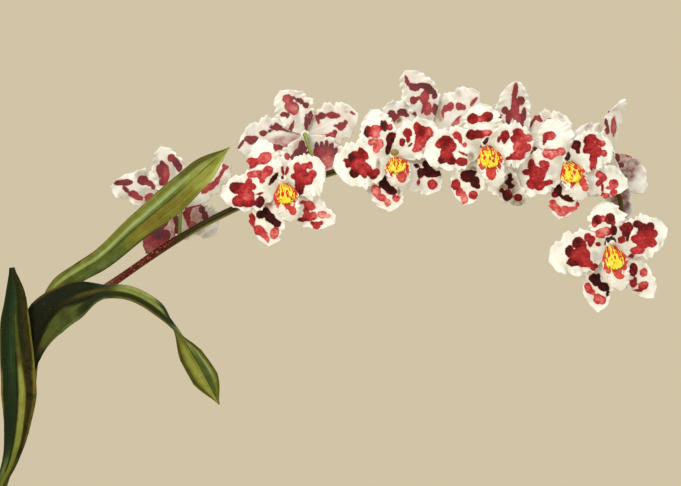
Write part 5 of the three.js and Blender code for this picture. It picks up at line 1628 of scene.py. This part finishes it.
def pot_piece(finish):
    """The turned pot, with its finger rings, rolled rim and drain holes."""
    below = POT_HEIGHT - RIM_HEIGHT
    body = mix(POT_FOOT_RADIUS, POT_TOP_RADIUS - RIM_STEP, below / POT_HEIGHT)
    profile = [(0, 0), (POT_FOOT_RADIUS - 1.5, 0), (POT_FOOT_RADIUS - 0.4, 0.5), (POT_FOOT_RADIUS, 1.5)]
    for i in range(1, 24):
        profile.append((mix(POT_FOOT_RADIUS, body, i / 24), mix(1.5, below, i / 24)))
    profile += [(body, below), (body + 2.4, below + 0.3), (body + RIM_STEP, below + 1.5)]
    rounded = POT_HEIGHT - RIM_ROUND
    for i in range(1, 8):
        profile.append((mix(body + RIM_STEP, POT_TOP_RADIUS, i / 8), mix(below + 1.5, rounded, i / 8)))
    inner_top = pot_inner_radius(POT_HEIGHT)
    profile += [
        (POT_TOP_RADIUS, rounded), (POT_TOP_RADIUS - 0.6, POT_HEIGHT - 0.6),
        (POT_TOP_RADIUS - RIM_ROUND, POT_HEIGHT), (inner_top + 1.5, POT_HEIGHT),
        (inner_top + 0.4, POT_HEIGHT - 0.6), (inner_top - 0.25, rounded),
    ]
    for i in range(1, 10):
        z = mix(rounded, POT_FLOOR + 1, i / 10)
        profile.append((pot_inner_radius(z), z))
    profile += [(pot_inner_radius(POT_FLOOR) - 0.8, POT_FLOOR), (0, POT_FLOOR)]
    wobble = lambda angle, z: 0.14 * math.sin(0.9 * z) + 0.12 * math.sin(2 * angle + 0.03 * z)
    shape = Shape()
    shape.add(*lathe(profile, POT_SIDES, wobble))
    pot = shape.piece("clay_pot", finish, ["pot"], "terracotta")
    for i, angle in enumerate(DRAIN_ANGLES):
        ends = [(0, DRAIN_FROM), (DRAIN_RADIUS, DRAIN_FROM), (DRAIN_RADIUS, DRAIN_TO), (0, DRAIN_TO)]
        corners, faces = lathe(ends, DRAIN_SIDES)
        middle = Vector((DRAIN_OFFSET * math.cos(angle), DRAIN_OFFSET * math.sin(angle), 0))
        cutter = new_object(f"drill_{i}", [corner + middle for corner in corners], faces)
        hole = pot.modifiers.new("drain_hole", "BOOLEAN")
        hole.object, hole.operation, hole.solver = cutter, "DIFFERENCE", "EXACT"
        bpy.context.view_layer.update()
        drilled = bpy.data.meshes.new_from_object(pot.evaluated_get(bpy.context.evaluated_depsgraph_get()))
        pot.modifiers.clear()
        pot.data = drilled
        bpy.data.objects.remove(cutter)


def moss_top(x, y):
    """How high the cushion stands at a place, without its small lumps."""
    radius = math.hypot(x, y) / MOSS_RADIUS
    tufts = math.sin(0.31 * x + 1.3) * math.cos(0.27 * y) + math.sin(0.43 * y - 0.35 * x + 2)
    return MOSS_EDGE_TOP + MOSS_RISE * (1 - radius * radius) + MOSS_LUMP * 0.5 * tufts * (1 - 0.4 * radius)


def moss_shape():
    """A soft cushion, and over it small star-shaped tufts."""
    shape = Shape()
    rings, sides = MOSS_RINGS, MOSS_SIDES
    band = MOSS_RADIUS - MOSS_EDGE_BAND
    corners, faces, tips = [Vector((0, 0, moss_top(0, 0)))], [], [0.3]
    for ring in range(1, rings + 2):
        radius = MOSS_RADIUS * min(ring, rings) / rings
        for side in range(sides):
            angle = 2 * math.pi * side / sides
            x, y = radius * math.cos(angle), radius * math.sin(angle)
            lump = noise.noise(Vector((x, y, 0)) * 0.35)
            top = moss_top(x, y) + 1.1 * lump - MOSS_EDGE_DROP * smoothstep(radius, band, MOSS_RADIUS)
            corners.append(Vector((x, y, MOSS_FOOT if ring > rings else top)))
            tips.append(clamp(0.35 + 0.5 * lump) if ring <= rings else 0.0)
    at = lambda ring, side: 1 + (ring - 1) * sides + side % sides
    for side in range(sides):
        faces.append([0, at(1, side), at(1, side + 1)])
        for ring in range(1, rings + 1):
            faces.append([at(ring, side), at(ring + 1, side), at(ring + 1, side + 1), at(ring, side + 1)])
    faces.append([at(rings + 1, side) for side in range(sides)][::-1])
    shape.add(corners, faces, {"tip": tips})
    chance = random.Random(TUFT_SEED)
    for _ in range(TUFTS):
        angle = chance.uniform(0, 2 * math.pi)
        radius = (MOSS_RADIUS - TUFT_INSET) * math.sqrt(chance.random())
        x, y = radius * math.cos(angle), radius * math.sin(angle)
        if any(math.hypot(x - bulb["x"], y - bulb["y"]) < 0.5 * bulb["width"] - 1 for bulb in BULBS):
            continue
        sunk = TUFT_SINK + MOSS_EDGE_DROP * smoothstep(radius, band, MOSS_RADIUS)
        heart = Vector((x, y, moss_top(x, y) - sunk))
        corners, faces, tips = [], [], []
        for k in range(TUFT_LEAVES):
            turn = 2 * math.pi * k / TUFT_LEAVES + chance.uniform(-0.3, 0.3)
            reach, climb = chance.uniform(*TUFT_REACH), chance.uniform(*TUFT_CLIMB)
            out = Vector((math.cos(turn), math.sin(turn), 0))
            wide = Vector((-out.y, out.x, 0)) * TUFT_LEAF_HALF
            first = len(corners)
            corners += [heart - wide * 0.5, heart + wide * 0.5,
                        heart + out * reach * 0.55 + wide + UP * climb * 0.7,
                        heart + out * reach * 0.55 - wide + UP * climb * 0.7,
                        heart + out * reach + UP * climb]
            faces += [[first, first + 1, first + 2, first + 3], [first + 3, first + 2, first + 4]]
            tips += [0.0, 0.0, 0.7, 0.7, 1.3]
        shape.add(corners, faces, {"tip": tips})
    return shape


def bulb_shape(bulb):
    """An egg-shaped, flattened pseudobulb with blunt ribs, drawn in at its neck."""
    shape = Shape()
    sides, rings = BULB_SIDES, BULB_RINGS
    corners, faces, level_values, furrows = [], [], [], []

    def corner(level, around):
        ribs = math.cos(6 * around) + 0.35 * math.cos(17 * around + 3 * level)
        girth = 1.06 - 0.3 * level + 0.05 * ribs * math.sin(math.pi * level)
        ring = math.sqrt(max(1 - (2 * level - 1) ** 2, 0))
        point = Vector((math.cos(around) * ring * girth * bulb["width"] / 2,
                        -math.sin(around) * ring * girth * bulb["thickness"] / 2, level * bulb["height"]))
        stood = turned(point, UP, bulb["turn"]) + Vector((bulb["x"], bulb["y"], BULB_FOOT_Z))
        return stood, clamp(0.5 - 0.5 * ribs)

    for i in range(1, rings):
        level = 0.5 - 0.5 * math.cos(math.pi * i / rings)
        for k in range(sides):
            point, furrow = corner(level, 2 * math.pi * k / sides)
            corners.append(point)
            level_values.append(level)
            furrows.append(furrow * math.sin(math.pi * level))
    foot, neck = len(corners), len(corners) + 1
    corners += [corner(0, 0)[0], corner(1, 0)[0]]
    level_values += [0.0, 1.0]
    furrows += [0.0, 0.0]
    for k in range(sides):
        following = (k + 1) % sides
        for i in range(rings - 2):
            a, b = i * sides + k, i * sides + following
            faces.append([a, a + sides, b + sides, b])
        top = (rings - 2) * sides
        faces += [[foot, k, following], [neck, top + following, top + k]]
    shape.add(corners, faces, {"level": level_values, "furrow": furrows})
    return shape


def sheath_shape(bulb):
    """A dry papery sheath that clasps the foot of its pseudobulb, torn at its point."""
    shape = Shape()
    height, reach = bulb["height"], 0.5 * bulb["height"]

    def place(t, s):
        level = reach * t / height + 0.07
        wide = SHEATH_SPREAD * max(math.sin(math.pi * (0.35 + 0.65 * t)), 0.06)
        lean = math.radians(bulb["sheath_side"] + s * wide)
        girth = (1.13 - 0.3 * level) * math.sqrt(1 - (2 * level - 1) ** 2)
        crimp = 0.25 * math.sin(23 * s + 5 * t) + 0.3 * math.sin(9 * t + 7 * s) * abs(s) ** 3
        flare = 1.2 + 3 * t * t + crimp
        across, deep = girth * bulb["width"] / 2 + flare, girth * bulb["thickness"] / 2 + flare
        point = Vector((across * math.cos(lean), deep * math.sin(lean), BULB_FOOT_Z + level * height))
        return turned(point, UP, bulb["turn"]) + Vector((bulb["x"], bulb["y"], 0))

    shape.add(*blade(place, SHEATH_ROWS, SHEATH_COLUMNS, SHEATH_THICKNESS))
    return shape


# the dressed plant

tepal_flesh, lip_flesh = tepal_finish(), lip_finish()
crest_flesh, column_flesh = crest_finish(), column_finish()
for number, flower in enumerate(FLOWERS):
    label = f"{number + 1:02d}"
    bloom = f"bloom_{label}"
    tepals_shape(flower, number).piece(f"sepals_petals_{label}", tepal_flesh, [bloom], "tepal")
    column_shape(flower).piece(f"column_{label}", column_flesh, [bloom], "tepal")
    lip_shape(flower, number).piece(f"frilled_lip_{label}", lip_flesh, [f"lip_{label}"], "lip")
    crest_shape(flower, number).piece(f"crest_ridges_{label}", crest_flesh, [f"crest_{label}"], "crest")

leaf_skin = leaf_finish()
for node, form in LEAVES.items():
    leaf_shape(form).piece(f"{node}_blade", leaf_skin, [node], "leaf")
stem_shape().piece("arching_spray_stem", stem_finish(), ["flower_stem"], "flower_stem")

pot_piece(clay_finish("pot_clay", POT_CHALK))
moss_shape().piece("moss_cushion", moss_finish(), ["moss"], "moss")
bulb_skin, sheath_paper = bulb_finish(), sheath_finish()
for i, bulb in enumerate(BULBS):
    bulb_shape(bulb).piece(f"ribbed_bulb_{i + 1}", bulb_skin, [bulb["name"]], "pseudobulb")
    sheath_shape(bulb).piece(f"papery_sheath_{i + 1}", sheath_paper, [f"sheath_{i + 1}"], "dry_sheath")


def dress(node, finish):
    """Gives a solid of the frame its finish; the solid stays as it is."""
    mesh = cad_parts[node].data
    mesh.materials.clear()
    mesh.materials.append(finish)


shard_clay = clay_finish("shard_clay", CROCK_CHALK)
for i in range(CROCKS):
    dress(f"crock_{i + 1}", shard_clay)
dress("compost", bark_finish("compost_bark", COMPOST_DARK, COMPOST_LIGHT))
dress("rhizome", bark_finish("rhizome_skin", RHIZOME_DARK, RHIZOME_LIGHT))


# floor, light and camera

FLOOR_RADIUS = 1500
FLOOR_SIDES = 96
SKY_LIGHT = (1.0, 0.975, 0.92, 1.0)
SKY_STRENGTH = 0.655

# where the lights aim and the camera stands, in metres, and its lens and film in mm
PLANT_MIDDLE = (0.25, 0, 0.38)
CAMERA_PLACE = (0.248, -2.8375, 0.3773)
CAMERA_LENS = 200
CAMERA_FILM = 36


def floor():
    """A wide pale disc under the pot, there for the render alone."""
    angles = [2 * math.pi * k / FLOOR_SIDES for k in range(FLOOR_SIDES)]
    corners = [Vector((FLOOR_RADIUS * math.cos(a), FLOOR_RADIUS * math.sin(a), 0)) for a in angles]
    made = new_object("pale_floor", corners, [list(range(FLOOR_SIDES))])
    finish, tree, shader = new_finish("pale_floor_paint", roughness=0.9)
    feed(shader, base_color=ramp(grain(own_place(tree), 4), FLOOR_TONES))
    made.data.materials.append(finish)


def soft_light(name, place, size, power, shade):
    light = bpy.data.lights.new(name, "AREA")
    light.shape, light.size, light.energy, light.color = "DISK", size, power, shade
    made = put_in_scene(name, light)
    made.location = place
    made.rotation_euler = (Vector(PLANT_MIDDLE) - Vector(place)).to_track_quat("-Z", "Y").to_euler()


def surroundings():
    """Even warm light all round; what the camera sees behind the plant is a plain pale beige."""
    world = bpy.data.worlds.new("studio")
    world.use_nodes = True
    tree = world.node_tree
    tree.nodes.clear()
    lit = place_node(tree, "ShaderNodeBackground", {"Color": SKY_LIGHT, "Strength": SKY_STRENGTH})
    seen = place_node(tree, "ShaderNodeBackground", {"Color": BACKDROP_BEIGE, "Strength": 1.0})
    ray = place_node(tree, "ShaderNodeLightPath").outputs["Is Camera Ray"]
    both = place_node(tree, "ShaderNodeMixShader", {0: ray, 1: lit.outputs[0], 2: seen.outputs[0]})
    place_node(tree, "ShaderNodeOutputWorld", {"Surface": both.outputs[0]})
    bpy.context.scene.world = world


floor()
soft_light("window_light", place=(-0.9, -1.9, 1.7), size=1.1, power=34.3, shade=(1.0, 0.98, 0.93))
soft_light("fill_light", place=(1.9, -1.4, 0.7), size=1.4, power=6, shade=(0.98, 0.98, 0.98))
surroundings()
bpy.context.scene.view_settings.view_transform = "Standard"

camera = bpy.data.cameras.new("camera")
camera.lens = CAMERA_LENS
camera.sensor_width = CAMERA_FILM
view = put_in_scene("camera", camera)
view.location = CAMERA_PLACE
view.rotation_euler = (math.radians(90), 0, 0)
bpy.context.scene.camera = view
